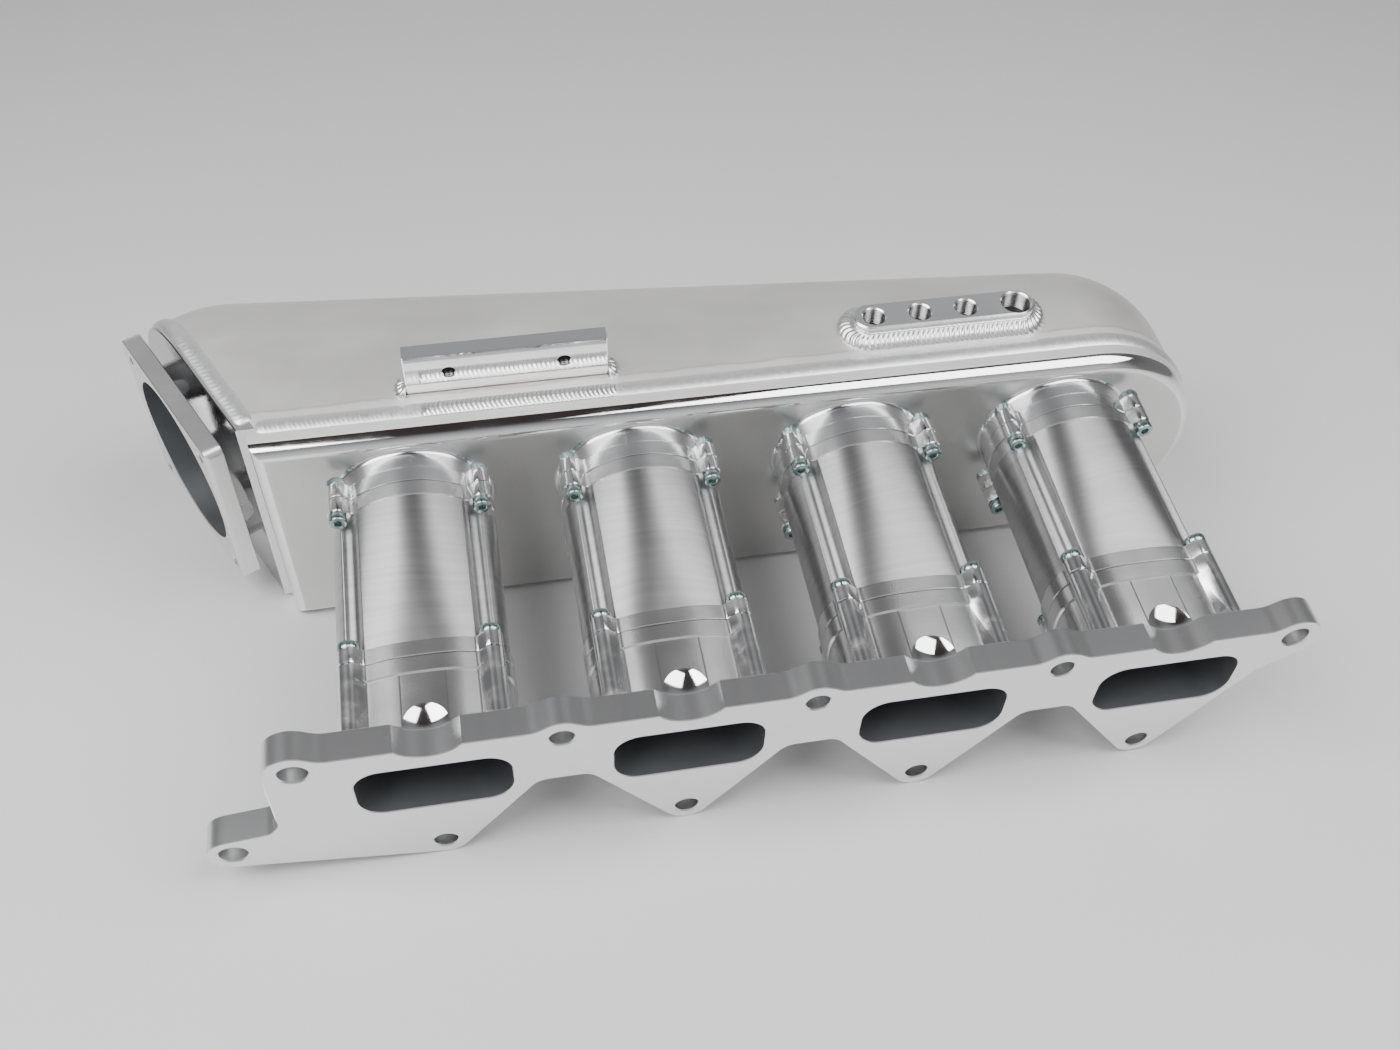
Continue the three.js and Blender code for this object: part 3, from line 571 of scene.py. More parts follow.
def side_milled(name, value, roughness, warmth=0.0, spread=0.8):
    """Bright machined surface with fine lines round the part."""
    n = Nodes(name)
    fine = tool_lines(n, 1.3, 2.0)
    smear = n.noise(0.04, detail=2)
    colour = n.mix(fine, grey(value * 0.93, warmth), grey(value * 1.04, warmth))
    rough = n.span(smear, 0.3, 0.7, roughness * 0.9, roughness * 1.12)
    return n.finish(colour, rough, fine, 0.01, **brushed(n, spread))


def plate_front():
    """Satin face with the arcs of a face mill in two level passes."""
    n = Nodes("plate_front")
    x, _, z = n.axes()
    upper = n.math("GREATER_THAN", z, PLATE_PASS)
    centre, reach = (n.span(upper, 0, 1, *ends) for ends in zip(LOWER_ARCS, UPPER_ARCS))
    level = n.math("SUBTRACT", z, centre)
    inside = n.math("MAXIMUM", n.math("SUBTRACT", n.math("MULTIPLY", reach, reach),
                                      n.math("MULTIPLY", level, level)), 1.0)
    arc = n.math("SUBTRACT", x, n.math("SQRT", inside))
    flat_level = n.math("MULTIPLY", level, 0.02)
    swirl_place = n.add("ShaderNodeCombineXYZ", {0: arc, 1: flat_level, 2: upper}).outputs[0]
    swirl = n.add("ShaderNodeTexNoise", {"Vector": swirl_place, "Scale": 0.9, "Detail": 5.0}).outputs[0]
    grain = n.noise((0.5, 0.5, 0.02), detail=3, offset=(9, 1, 1))
    from_pass = n.math("ABSOLUTE", n.math("SUBTRACT", z, PLATE_PASS))
    seam = n.math("MULTIPLY", n.math("LESS_THAN", from_pass, 0.25), 1.5)
    height = n.math("ADD", swirl, n.math("ADD", n.math("MULTIPLY", grain, 0.4), seam))
    cloud = n.noise(0.02, detail=4)
    colour = n.mix(cloud, grey(0.60, 0.018), grey(0.74, 0.010))
    roughness = n.span(cloud, 0.3, 0.7, 0.34, 0.40)
    return n.finish(colour, roughness, height, 0.034)


def polished(name="polished", value=0.92, roughness=0.06):
    """Hand-polished metal: a mirror with faint waves and hairlines."""
    n = Nodes(name)
    waves = n.noise((0.03, 0.05, 0.05), detail=3)
    hair = n.noise((0.02, 2.5, 2.5), detail=3)
    height = n.math("ADD", n.math("MULTIPLY", waves, 1.5), n.math("MULTIPLY", hair, 0.12))
    stain = n.noise((0.04, 0.12, 0.12), detail=5)
    rough = n.span(stain, 0.45, 0.7, roughness, roughness * 2.2)
    colour = n.mix(stain, grey(value, -0.004), grey(value * 0.94, 0.004))
    return n.finish(colour, rough, height, 0.02)


def sheet_metal():
    """Satin sheet, hand-abraded, whitened beside the welds with a thin tint line beyond."""
    n = Nodes("plenum_sheet")
    wobble = n.noise(0.06, detail=4)
    edge = n.math("ADD", n.axes()[1], n.span(wobble, 0.2, 0.8, -1.2, 1.2))
    from_line = n.math("ABSOLUTE", n.math("SUBTRACT", edge, TINT_LINE))
    tint = n.math("SUBTRACT", 1.0, n.math("MINIMUM", from_line, 1.0))
    clean = n.span(edge, *WHITENED, 1.0, 0.0)
    grain = n.noise((0.02, 0.9, 0.9), detail=4)
    cross = n.noise((0.5, 0.05, 0.5), detail=3, offset=(4, 4, 4))
    cloud = n.noise((0.02, 0.03, 0.03), detail=5)
    height = n.plus(grain, cross, 0.6)
    plain = n.mix(cloud, grey(0.78, 0.022), grey(0.87, 0.014))
    colour = n.mix(n.math("MULTIPLY", clean, 0.6), plain, grey(0.93, 0.004))
    colour = n.mix(n.math("MULTIPLY", tint, 0.28), colour, (0.42, 0.36, 0.28, 1))
    roughness = n.math("ADD", n.span(cloud, 0.3, 0.7, 0.50, 0.57), n.math("MULTIPLY", clean, 0.05))
    return n.finish(colour, roughness, height, 0.02)


def weld_metal(name, roughness, value):
    """Fresh weld: bright and a little frosted; a brushed one is rougher."""
    n = Nodes(name)
    frost = n.noise(0.5, detail=2)
    cloud = n.noise(0.05, detail=3)
    colour = n.mix(cloud, grey(value * 0.9, -0.008), grey(value))
    rough = n.span(frost, 0.3, 0.7, roughness, roughness + 0.08)
    return n.finish(colour, rough, frost, 0.015)


def shaded_port_wall():
    """Broached port wall with lines along the port, coloured dark as painted shade inside the port."""
    n = Nodes("shaded_port_wall")
    lines = n.noise((0.9, 0.02, 0.9), detail=3)
    cloud = n.noise(0.05, detail=3)
    # dark blue-grey colour: painted shade of the deep ports and bores
    colour = n.mix(cloud, grey(0.13, -0.06), grey(0.22, -0.06))
    return n.finish(colour, 0.3, lines, 0.03, metallic=0.6)


def shaded_thread_metal():
    """Tapped hole: dull, coloured dark as painted shade inside the hole."""
    n = Nodes("shaded_thread_metal")
    cloud = n.noise(0.4, detail=2)
    # dark colour: painted shade inside the tapped holes
    colour = n.mix(cloud, grey(0.14), grey(0.26))
    return n.finish(colour, 0.24, cloud, 0.01)


def zinc_steel():
    """Bright zinc plate with a blue-green cast."""
    n = Nodes("zinc_steel")
    grain = n.noise(1.2, detail=4)
    cloud = n.noise(0.3, detail=2)
    colour = n.mix(cloud, (0.26, 0.35, 0.35, 1), (0.50, 0.59, 0.58, 1))
    roughness = n.span(grain, 0.3, 0.7, 0.16, 0.3)
    return n.finish(colour, roughness, grain, 0.03)


def seal_rubber():
    n = Nodes("seal_rubber")
    grain = n.noise(2, detail=4)
    colour = n.mix(grain, (0.012, 0.012, 0.014, 1), (0.03, 0.03, 0.034, 1))
    roughness = n.span(grain, 0.3, 0.7, 0.55, 0.7)
    return n.finish(colour, roughness, grain, 0.02, metallic=0.0)


def paper_sweep():
    """Pale, slightly glossy studio surface."""
    n = Nodes("studio_surface")
    cloud = n.noise(0.004, detail=3)
    colour = n.mix(cloud, (0.66, 0.66, 0.665, 1), (0.70, 0.70, 0.70, 1))
    return n.finish(colour, 0.34, metallic=0.0)


MILLED = milled_face()
MILLED_EDGE = milled_edge()
RUNNER = turned_runner()
STUB_SIDE = side_milled("stub_side", 0.68, 0.25)
EAR = polished("ear_polish", 0.86, 0.15)
NECK_SIDE = side_milled("neck_side", 0.82, 0.2, warmth=-0.006)
PLATE = plate_front()
MIRROR = polished()
SHEET = sheet_metal()
WELD = weld_metal("weld_metal", 0.27, 0.82)
WELD_BRUSHED = weld_metal("weld_brushed", 0.42, 0.90)
SHADED_PORT_WALL = shaded_port_wall()
SHADED_THREAD = shaded_thread_metal()
ZINC = zinc_steel()
RUBBER = seal_rubber()
THROTTLE = side_milled("throttle_side", 0.82, 0.3, 0.01, 0.2)
# value 0.34: painted dark reflection of the room on the neck, in the pocket behind the throttle flange
NECK_PAINTED_DARK = polished("neck_painted_dark", 0.34, 0.08)
BAR_MIRROR = polished("bracket_mirror", 0.93, 0.05)
BLOCK = side_milled("block_side", 0.9, 0.24, spread=0.3)


def paint(obj, materials, choose=None):
    """Gives obj its materials; choose(centre in mm, normal) picks one of them for a face."""
    obj.data.materials.clear()
    for material in materials:
        obj.data.materials.append(material)
    if choose:
        for face in obj.data.polygons:
            face.material_index = choose(face.center / MM, face.normal)


def finished(obj, materials, slot, *nodes, choose=None, sharp=30):
    """Smooths and paints a piece, hangs it on the root body and hides the CAD nodes it stands for; slot is
    not used.
    """
    paint(smooth(obj, sharp), materials, choose)
    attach(obj, ROOT)
    if nodes:
        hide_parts(*nodes)


def on_ear(centre, ear):
    """Whether a face lies on one of the round screw columns."""
    x = min(abs(centre.x - value) for value in runner_x)
    return math.hypot(x - ear[0], abs(centre.z) - ear[1]) < ear[2] + 0.15


# ---- head flange ------------------------------------------------------------------------------
def flange_outline():
    boss_rise = math.pi / 6
    boss_top = STUD_ROW_Z + STUD_BOSS_R / math.cos(boss_rise)
    boss_foot = (boss_top - FLANGE_TOP) / math.tan(boss_rise)
    lug_tip = LUG_ROW_Z - LUG_R * math.sqrt(1 + LUG_SLOPE ** 2)
    lug_foot = (VALLEY_Z - lug_tip) / LUG_SLOPE
    left = runner_x[0] - bore_pitch / 2 - STUD_BOSS_R
    right = runner_x[-1] + bore_pitch / 2 + STUD_BOSS_R
    end_top = boss_top + STUD_BOSS_R * math.tan(boss_rise)
    pocket_depth = FLANGE_TOP - INJECTOR_BOTTOM_Z
    pocket_angle = math.acos(1 - pocket_depth / INJECTOR_R)

    corners = [(left, end_top, STUD_BOSS_R), (left + STUD_BOSS_R + boss_foot, FLANGE_TOP, 9)]
    for k, x in enumerate(runner_x):
        stud_x = x + bore_pitch / 2
        for angle in np.linspace(-pocket_angle, pocket_angle, 25):
            z = INJECTOR_BOTTOM_Z + INJECTOR_R * (1 - math.cos(angle))
            corners.append((x + INJECTOR_R * math.sin(angle), z, 0))
        corners.append((stud_x - boss_foot, FLANGE_TOP, 9))
        if k < len(runner_x) - 1:
            corners += [(stud_x, boss_top, STUD_BOSS_R), (stud_x + boss_foot, FLANGE_TOP, 9)]
    corners += [(right, end_top, STUD_BOSS_R), (right, 13.2, 8), (177.5, 1.5, 12)]
    for x in runner_x[:0:-1]:
        corners.append((x, lug_tip, LUG_R))
        corners += [(foot, VALLEY_Z, 7) for foot in (x - lug_foot, x - bore_pitch + lug_foot)]
    corners.append((-135.4, -51.4, LUG_R))
    corner_left = flange_low[0]
    corners += [(corner_left, -37.7, 9.3), (corner_left, -21.3, 9.3)]
    corners += [(left - 1.2, -17.9, 7), (left - 1.2, 9, 30)]
    return rounded(corners[::-1])


def stud_hole(x, z, radius):
    flare = 0.5
    profile = [(-1, radius + flare + 1), (flare, radius), (FLANGE_THICKNESS - flare, radius),
               (FLANGE_THICKNESS + 1, radius + flare + 1)]
    return round_bar("hole", (x, 0, z), (0, 1, 0), profile, 48)


def flange_stub(x):
    face = lower_joint - JOINT_GAP / 2
    plain = lower_section(oval(*STUB))
    band = lower_section(oval(*STUB_BAND))
    rings = [
        polar(x, FLANGE_THICKNESS - 1, plain),
        polar(x, face - 7.2, plain),
        polar(x, face - 6.6, band),
        polar(x, face - EDGE_BREAK, band),
        polar(x, face, band - EDGE_BREAK),
    ]
    return stack("stub", rings)


def port_cut(x, start, end, flare_start, flare_end):
    """Port-shaped tool with a small chamfer at either mouth."""
    wide, plain = rounded_rectangle(*PORT, grow=1 + EDGE_BREAK), rounded_rectangle(*PORT)
    rings = [polar(x, start - 1, wide if flare_start else plain)]
    rings.append(polar(x, start + EDGE_BREAK, plain))
    rings.append(polar(x, end - EDGE_BREAK, plain))
    rings.append(polar(x, end + 1, wide if flare_end else plain))
    return stack("port", rings)


def ring_groove(x, start, end, outer, inner):
    return stack("groove", [polar(x, start, outer), polar(x, end, outer),
                            polar(x, end, inner), polar(x, start, inner)], closed=True)


def ball(x, y, z, radius, count=64):
    angles = np.linspace(0, math.pi, count)
    profile = [(-radius * math.cos(a), max(radius * math.sin(a), 0.01)) for a in angles]
    return round_bar("ball", (x, y, z), (0, 0, 1), profile, 2 * count)


def head_flange():
    body = prism("head_flange_body", flange_outline(), broken(0, FLANGE_THICKNESS), in_xz)
    body = unite(body, [flange_stub(x) for x in runner_x])
    face = lower_joint - JOINT_GAP / 2
    tools = []
    for x in runner_x:
        tools.append(port_cut(x, 0, face, True, False))
        edges = [rounded_rectangle(*PORT, grow=grow) for grow in PORT_GROOVE]
        tools.append(ring_groove(x, face - SEAL_GROOVE_DEPTH, face + 1, *edges))
        tools.append(ball(x, FLANGE_THICKNESS, INJECTOR_BOTTOM_Z + INJECTOR_R, INJECTOR_R))
        tools.append(stud_hole(x, LUG_ROW_Z, STUD_HOLE_R))
    for k in range(len(runner_x) + 1):
        radius = WIDE_HOLE_R if k % len(runner_x) == 0 else STUD_HOLE_R
        tools.append(stud_hole(runner_x[0] + (k - 0.5) * bore_pitch, STUD_ROW_Z, radius))
    tools.append(stud_hole(CORNER_STUD_X, CORNER_STUD_Z, WIDE_HOLE_R))
    body = cut(body, tools)

    def choose(centre, normal):
        x = min(runner_x, key=lambda value: abs(value - centre.x))
        in_port = abs(centre.x - x) < PORT[0] + 0.3 and abs(centre.z) < PORT[1] + 0.3 and abs(normal.y) < 0.3
        from_ball = (Vector((x, FLANGE_THICKNESS, INJECTOR_BOTTOM_Z + INJECTOR_R)) - centre).length
        if abs(from_ball - INJECTOR_R) < 0.3 and centre.y > FLANGE_THICKNESS:
            return 3
        if in_port:
            return 2
        if centre.y > FLANGE_THICKNESS + 0.2:
            return 5 if on_ear(centre, LOWER_EAR) else 1
        return 0 if abs(normal.y) > 0.8 else 4

    materials = [MILLED, STUB_SIDE, SHADED_PORT_WALL, MIRROR, MILLED_EDGE, EAR]
    finished(body, materials, "machined_aluminium", "head_flange", choose=choose)


# ---- runners ----------------------------------------------------------------------------------
def runner_shape(share):
    """Outer radii between the flat oval at the flange and the round at the plenum."""
    return oval(*STUB) * (1 - share) + oval(*RUNNER_TOP) * share


def runner_body(number, x):
    lower_channel = (LOWER_EAR[0], LOWER_EAR[1], DRIVER_CHANNEL_R)
    rings = banded(x, lower_face, LOWER_EAR_END, lower_section(oval(*STUB_BAND)))
    span = upper_face - LOWER_EAR_END
    for y in np.linspace(LOWER_EAR_END + 0.01, UPPER_EAR_START, 30):
        body = runner_shape((y - LOWER_EAR_END) / span)
        rings.append(polar(x, y, section(body, channels=lower_channel, crisp=0.6)))
    eared = upper_section(runner_shape(1))
    rings += [
        polar(x, UPPER_EAR_START + 0.01, eared - EDGE_BREAK),
        polar(x, UPPER_EAR_START + EDGE_BREAK, eared),
        polar(x, upper_face - 0.2, eared),
        polar(x, upper_face, eared - 0.2),
    ]
    outer, inner = RUNNER_GROOVE_R
    rings += [
        polar(x, upper_face, outer),
        polar(x, upper_face - SEAL_GROOVE_DEPTH, outer),
        polar(x, upper_face - SEAL_GROOVE_DEPTH, inner),
        polar(x, upper_face, inner),
        polar(x, upper_face, BORE_R),
    ]
    for share in np.linspace(1, 0, 16):
        y = lower_face + share * (upper_face - lower_face - 1)
        ease = share * share * (3 - 2 * share)
        rings.append(polar(x, y, rounded_rectangle(*PORT) * (1 - ease) + BORE_R * ease))
    obj = stack(f"runner_body_{number}", rings, closed=True)

    def choose(centre, normal):
        inward = (centre.x - x) * normal.x + centre.z * normal.z < 0
        in_bore = math.hypot(centre.x - x, centre.z) < PORT[0]
        if inward and in_bore and abs(normal.y) < 0.7:
            return 2
        if LOWER_EAR_END < centre.y < UPPER_EAR_START:
            return 0
        return 3 if on_ear(centre, LOWER_EAR if centre.y < LOWER_EAR_END else UPPER_EAR) else 1

    finished(obj, [RUNNER, STUB_SIDE, SHADED_PORT_WALL, EAR], "turned_aluminium", f"runner_{number}", choose=choose)


# ---- base plate -------------------------------------------------------------------------------
def plate_outline(pull):
    """Outline of the plate, moved inwards by pull."""
    radius, left = plenum_r - pull, plate_low[0] + pull
    arc = [(plenum_end_x + radius * math.cos(a), plenum_z + radius * math.sin(a))
           for a in np.linspace(-math.pi / 2, math.pi / 2, 91)]
    return np.array([(left, plenum_z - radius)] + arc + [(left, plenum_z + radius)])


def plate_stub(x):
    eared = upper_section(oval(*RUNNER_TOP))
    face = upper_joint + JOINT_GAP / 2
    rings = banded(x, face, PLATE_EAR_END, eared, first=0.2)
    rings += [
        polar(x, PLATE_EAR_END + 0.01, oval(*RUNNER_TOP)),
        polar(x, PLATE_EAR_END + 0.4, oval(*PLATE_NECK)),
    ]
    foot = 2.0
    for angle in np.linspace(0, math.pi / 2, 8):
        flare = foot * (1 - math.cos(angle))
        rings.append(polar(x, PLATE_FRONT - foot + foot * math.sin(angle), oval(*PLATE_NECK, grow=flare)))
    rings.append(polar(x, PLATE_FRONT + 1, oval(*PLATE_NECK, grow=foot)))
    return stack("plate_stub", rings)


def bell_mouth(x):
    rings = [polar(x, upper_joint - 1, BORE_R)]
    for angle in np.linspace(0, math.pi / 2, 12):
        flare = MOUTH_FLARE * (1 - math.cos(angle))
        rings.append(polar(x, plate_back - MOUTH_FLARE * (1 - math.sin(angle)), BORE_R + flare))
    rings.append(polar(x, plate_back + 1, BORE_R + MOUTH_FLARE))
    return stack("mouth", rings)


def base_plate():
    levels = []
    for angle in np.linspace(math.pi / 2, 0, 13):
        pull = PLATE_ROUNDOVER * (1 - math.cos(angle))
        levels.append((PLATE_FRONT + PLATE_ROUNDOVER * (1 - math.sin(angle)), pull))
    levels.append((plate_back, 0))
    body = repaired(stack("base_plate_body", [in_xz(plate_outline(pull), y) for y, pull in levels]))
    body = unite(body, [plate_stub(x) for x in runner_x])
    body = cut(body, [bell_mouth(x) for x in runner_x])

    def choose(centre, normal):
        if centre.y < PLATE_FRONT - 0.05:
            return 4 if centre.y < PLATE_EAR_END and on_ear(centre, UPPER_EAR) else 1
        if normal.y < -0.98 or centre.y > plate_back - 0.1:
            return 0
        return 2 if centre.y < PLATE_FRONT + PLATE_ROUNDOVER * 0.9 else 3

    finished(body, [PLATE, NECK_SIDE, MIRROR, SHEET, EAR], "plate_aluminium", "base_plate", choose=choose)


# ---- plenum shell -----------------------------------------------------------------------------
throttle_along = np.array([math.sin(THROTTLE_ANGLE), -math.cos(THROTTLE_ANGLE), 0])
throttle_up = np.array([0, 0, 1.0])
throttle_out = np.array([-math.cos(THROTTLE_ANGLE), -math.sin(THROTTLE_ANGLE), 0])

shell_end = np.array([plenum_end_x, SHELL_BACK])
shell_corner = shell_end + SHELL_RUN * np.array([-math.cos(SHELL_TAPER), math.sin(SHELL_TAPER)])


def seam_point(depth):
    """Point of the plenum's spine at the given depth behind the throttle face."""
    to_face = (THROTTLE_CENTRE[:2] - shell_corner) @ throttle_out[:2]
    return shell_corner + throttle_out[:2] * (to_face - depth)


def spine(depth):
    """Stations (point, outward direction) along the shell's half-round back."""
    stations = [(np.array([plenum_end_x, shell_start]), 0.0), (shell_end, 0.0)]
    first_turn = math.pi / 2 - SHELL_TAPER
    for angle in np.linspace(0, first_turn, 31)[1:]:
        stations.append((shell_end, angle))
    for share in np.linspace(0, 1, 41)[1:]:
        stations.append((shell_end + share * (shell_corner - shell_end), first_turn))
    last_turn = math.pi / 2 + THROTTLE_ANGLE
    for angle in np.linspace(first_turn, last_turn, 17)[1:]:
        stations.append((shell_corner, angle))
    stations.append((seam_point(depth), last_turn))
    return stations


def shell_skin(radius, depth, start):
    """Points of one side of the sheet: a grid of stations by profile, from the top edge to the bottom one."""
    rows = []
    for point, angle in spine(depth):
        point = np.array([point[0], max(point[1], start)])
        direction = np.array([math.cos(angle), math.sin(angle)])
        row = []
        for bend in np.linspace(math.pi / 2, -math.pi / 2, 73):
            reach = radius * math.cos(bend)
            row.append((*(point + direction * reach), plenum_z + radius * math.sin(bend)))
        rows.append(row)
    return np.array(rows)


def plenum_shell():
    depth = THROTTLE_DEPTH + JOINT_GAP
    outer = shell_skin(shell_r, depth, shell_start)
    inner = shell_skin(shell_r - SHELL_WALL, depth, shell_start)
    seam = seam_point(depth)
    to_front = (seam[1] - shell_start) / -throttle_along[1]
    front_left = seam + throttle_along[:2] * to_front
    rows, columns = outer.shape[:2]
    points, faces = [], []

    def grid_index(side, row, column):
        return (side * rows + row) * columns + column

    for skin in (outer, inner):
        points += [tuple(p) for p in skin.reshape(-1, 3)]
    for side in (0, 1):
        for row in range(rows - 1):
            for column in range(columns - 1):
                faces.append([grid_index(side, row, column), grid_index(side, row + 1, column),
                              grid_index(side, row + 1, column + 1), grid_index(side, row, column + 1)])
    front = {}
    for side, radius in ((0, shell_r), (1, shell_r - SHELL_WALL)):
        for column, sign in ((0, 1), (columns - 1, -1)):
            front[side, column] = len(points)
            points.append((front_left[0], front_left[1], plenum_z + sign * radius))
            path = [grid_index(side, row, column) for row in range(rows)] + [front[side, column]]
            unique = [path[0]]
            for index in path[1:]:
                if np.linalg.norm(np.subtract(points[index], points[unique[-1]])) > 1e-6:
                    unique.append(index)
            corners = [Vector((points[k][0], points[k][1], 0)) for k in unique]
            faces += [[unique[k] for k in t] for t in tessellate_polygon([corners])]
    for column in range(columns - 1):
        for row in (0, rows - 1):
            faces.append([grid_index(0, row, column), grid_index(0, row, column + 1),
                          grid_index(1, row, column + 1), grid_index(1, row, column)])
    for column in (0, columns - 1):
        faces.append([grid_index(0, 0, column), front[0, column], front[1, column], grid_index(1, 0, column)])
        faces.append([grid_index(0, rows - 1, column), front[0, column], front[1, column],
                      grid_index(1, rows - 1, column)])
    obj = to_object("plenum_sheet", points, faces)
    shape = bmesh.new()
    shape.from_mesh(obj.data)
    bmesh.ops.remove_doubles(shape, verts=shape.verts, dist=1e-7)
    shape.to_mesh(obj.data)
    shape.free()
    repaired(obj)
    tools = [round_bar("port", (x, VACUUM_Y, 0), (0, 0, 1), [(20, r), (60, r)], 48) for x, r in VACUUM_PORTS]
    cut(obj, tools)
    finished(obj, [SHEET], "sheet_aluminium", "plenum_shell")


# ---- throttle flange --------------------------------------------------------------------------
def in_throttle(points, depth):
    """Points (along, up) of the throttle flange's own frame, depth behind its face, in the row frame."""
    return (THROTTLE_CENTRE + np.outer(points[:, 0], throttle_along) + np.outer(points[:, 1], throttle_up)
            - depth * throttle_out)


def throttle_ring(radii, depth):
    radii = np.broadcast_to(radii, ANGLES.shape)
    return in_throttle(np.stack([radii * np.cos(ANGLES), radii * np.sin(ANGLES)], axis=1), depth)


def end_plate_outline():
    middle = (shell_corner - THROTTLE_CENTRE[:2]) @ throttle_along[:2]
    centre_z = plenum_z - THROTTLE_CENTRE[2]
    front = 2 * THROTTLE_HALF
    arc = [(middle + shell_r * math.cos(a), centre_z + shell_r * math.sin(a))
           for a in np.linspace(math.pi / 2, 1.5 * math.pi, 73)]
    return np.array([(front, centre_z - shell_r), (front, centre_z + shell_r)] + arc)


def throttle_flange():
    square = rounded_rectangle(THROTTLE_HALF, THROTTLE_HALF, 4)
    neck = THROTTLE_HALF - 0.2
    back = THROTTLE_DEPTH - END_PLATE_THICKNESS
    rings = [
        throttle_ring(square - EDGE_BREAK, 0),
        throttle_ring(square, EDGE_BREAK),
        throttle_ring(square, THROTTLE_THICKNESS - EDGE_BREAK),
        throttle_ring(square - EDGE_BREAK, THROTTLE_THICKNESS),
        throttle_ring(np.minimum(square - EDGE_BREAK, neck + 0.1), THROTTLE_THICKNESS + 0.01),
        throttle_ring(neck, THROTTLE_THICKNESS + 0.4),
        throttle_ring(neck, back + 1),
    ]
    body = stack("throttle_body", rings)
    plate = prism("end_plate", end_plate_outline(), broken(back, THROTTLE_DEPTH, 0.5), in_throttle)
    body = unite(body, [plate])
    bore = stack("bore", [throttle_ring(THROTTLE_BORE_R + 1.4, -1), throttle_ring(THROTTLE_BORE_R, 0.4),
                          throttle_ring(THROTTLE_BORE_R, THROTTLE_DEPTH + 10)])
    threads = []
    for sx in (-1, 1):
        for sy in (-1, 1):
            centre = in_throttle(np.array([[sx * THROTTLE_BOLT_HALF, sy * THROTTLE_BOLT_HALF]]), 0)[0]
            profile = [(-1, 3.9), (0.5, BOLT_HOLE_R), (THROTTLE_THICKNESS + 1.5, BOLT_HOLE_R)]
            thread = (*BOLT_THREAD, 0.6, THROTTLE_THICKNESS - 0.5)
            threads.append(round_bar("thread", centre, -throttle_out, profile, 32, thread))
    room = prism("room", np.array([(-400, 0), (0, 0), (0, shell_start), (-400, shell_start)]),
                 [(-200, 0), (200, 0)], in_xy)
    cut(body, [bore] + threads)
    boolean(body, room, "DIFFERENCE")

    def choose(centre, normal):
        depth = -(np.array(centre) - THROTTLE_CENTRE) @ throttle_out
        flat = np.array(centre) - THROTTLE_CENTRE
        radius = math.hypot(flat @ throttle_along, flat[2])
        if radius < THROTTLE_BORE_R + 0.2 and abs(np.array(normal) @ throttle_out) < 0.5:
            return 1
        # the pocket between the flange and the end plate takes the painted dark reflection
        return 2 if THROTTLE_THICKNESS < depth < back + NECK_DARK_PAST else 0

    finished(body, [THROTTLE, SHADED_PORT_WALL, NECK_PAINTED_DARK], "plate_aluminium", "throttle_flange", choose=choose)


# ---- items on the plenum ----------------------------------------------------------------------
def accessory_bracket():
    low, high = bracket_low, bracket_high
    outline = np.array([(low[0], low[2]), (high[0], low[2]), (high[0], high[2]), (low[0], high[2])])
    body = prism("bracket_bar", outline, broken(low[1], high[1], 0.4), in_xz)
    middle = (low[0] + high[0]) / 2
    tools = []
    for side in (-1, 1):
        centre = (middle + side * BRACKET_HOLE_HALF, low[1], (low[2] + high[2]) / 2)
        depth = high[1] - low[1]
        profile = [(-1, 4.0), (0.5, BOLT_HOLE_R), (depth - 0.5, BOLT_HOLE_R), (depth + 1, 4.0)]
        tools.append(round_bar("thread", centre, (0, 1, 0), profile, 32, (*BOLT_THREAD, 0.6, 6.4)))
    cut(body, tools)

    def choose(centre, normal):
        from_hole = math.hypot(abs(centre.x - middle) - BRACKET_HOLE_HALF, centre.z - (low[2] + high[2]) / 2)
        return 1 if from_hole < 4 and low[1] + 0.4 < centre.y < high[1] - 0.4 else 0

    finished(body, [BAR_MIRROR, SHADED_THREAD], "polished_aluminium", "accessory_bracket", choose=choose)


def stadium(low, high, grow=0.0):
    """Round-ended outline in plan between two corners of a box."""
    radius = (high[1] - low[1]) / 2
    points = []
    for centre_x, first in ((high[0] - radius, -90), (low[0] + radius, 90)):
        for angle in np.radians(np.arange(first, first + 181, 6)):
            points.append((centre_x + (radius + grow) * math.cos(angle),
                           (low[1] + high[1]) / 2 + (radius + grow) * math.sin(angle)))
    return np.array(points)


def vacuum_block():
    low, high = block_low, block_high
    body = prism("vacuum_block", stadium(low, high), [(low[2], 0), (high[2] - 0.6, 0), (high[2], 0.6)], in_xy)
    depth = high[2] - low[2]
    tools = []
    for x, radius in VACUUM_PORTS:
        profile = [(-1, radius), (depth - 0.6, radius), (depth + 1, radius + 1.6)]
        thread = (*PIPE_THREAD, -0.9, depth - 0.7)
        tools.append(round_bar("thread", (x, VACUUM_Y, low[2]), (0, 0, 1), profile, 48, thread))
    cut(body, tools)

    def choose(centre, normal):
        from_port = min(math.hypot(centre.x - x, centre.y - VACUUM_Y) - radius for x, radius in VACUUM_PORTS)
        return 1 if from_port < 0.3 and centre.z < high[2] - 0.5 else 0

    finished(body, [BLOCK, SHADED_THREAD], "machined_aluminium", "vacuum_port_block", choose=choose)


# ---- fasteners --------------------------------------------------------------------------------
SCREW_POINTS = 96
SCREW_ANGLES = np.arange(SCREW_POINTS) * TURN / SCREW_POINTS
LOW_HEAD_SCREW = {"head_r": 4.25, "height": 3.4, "flats": 3.0, "socket_depth": 2.0, "shank_r": 2.5}
LOW_HEAD_SCREW_LENGTH = 18
CAP_SCREW = {"head_r": 3.5, "height": 4.0, "flats": 3.0, "socket_depth": 2.0, "shank_r": 2.0}
PAST_GRIP = 3.9
NUT_FLATS = 7.0
NUT_CROWN_R = 3.55


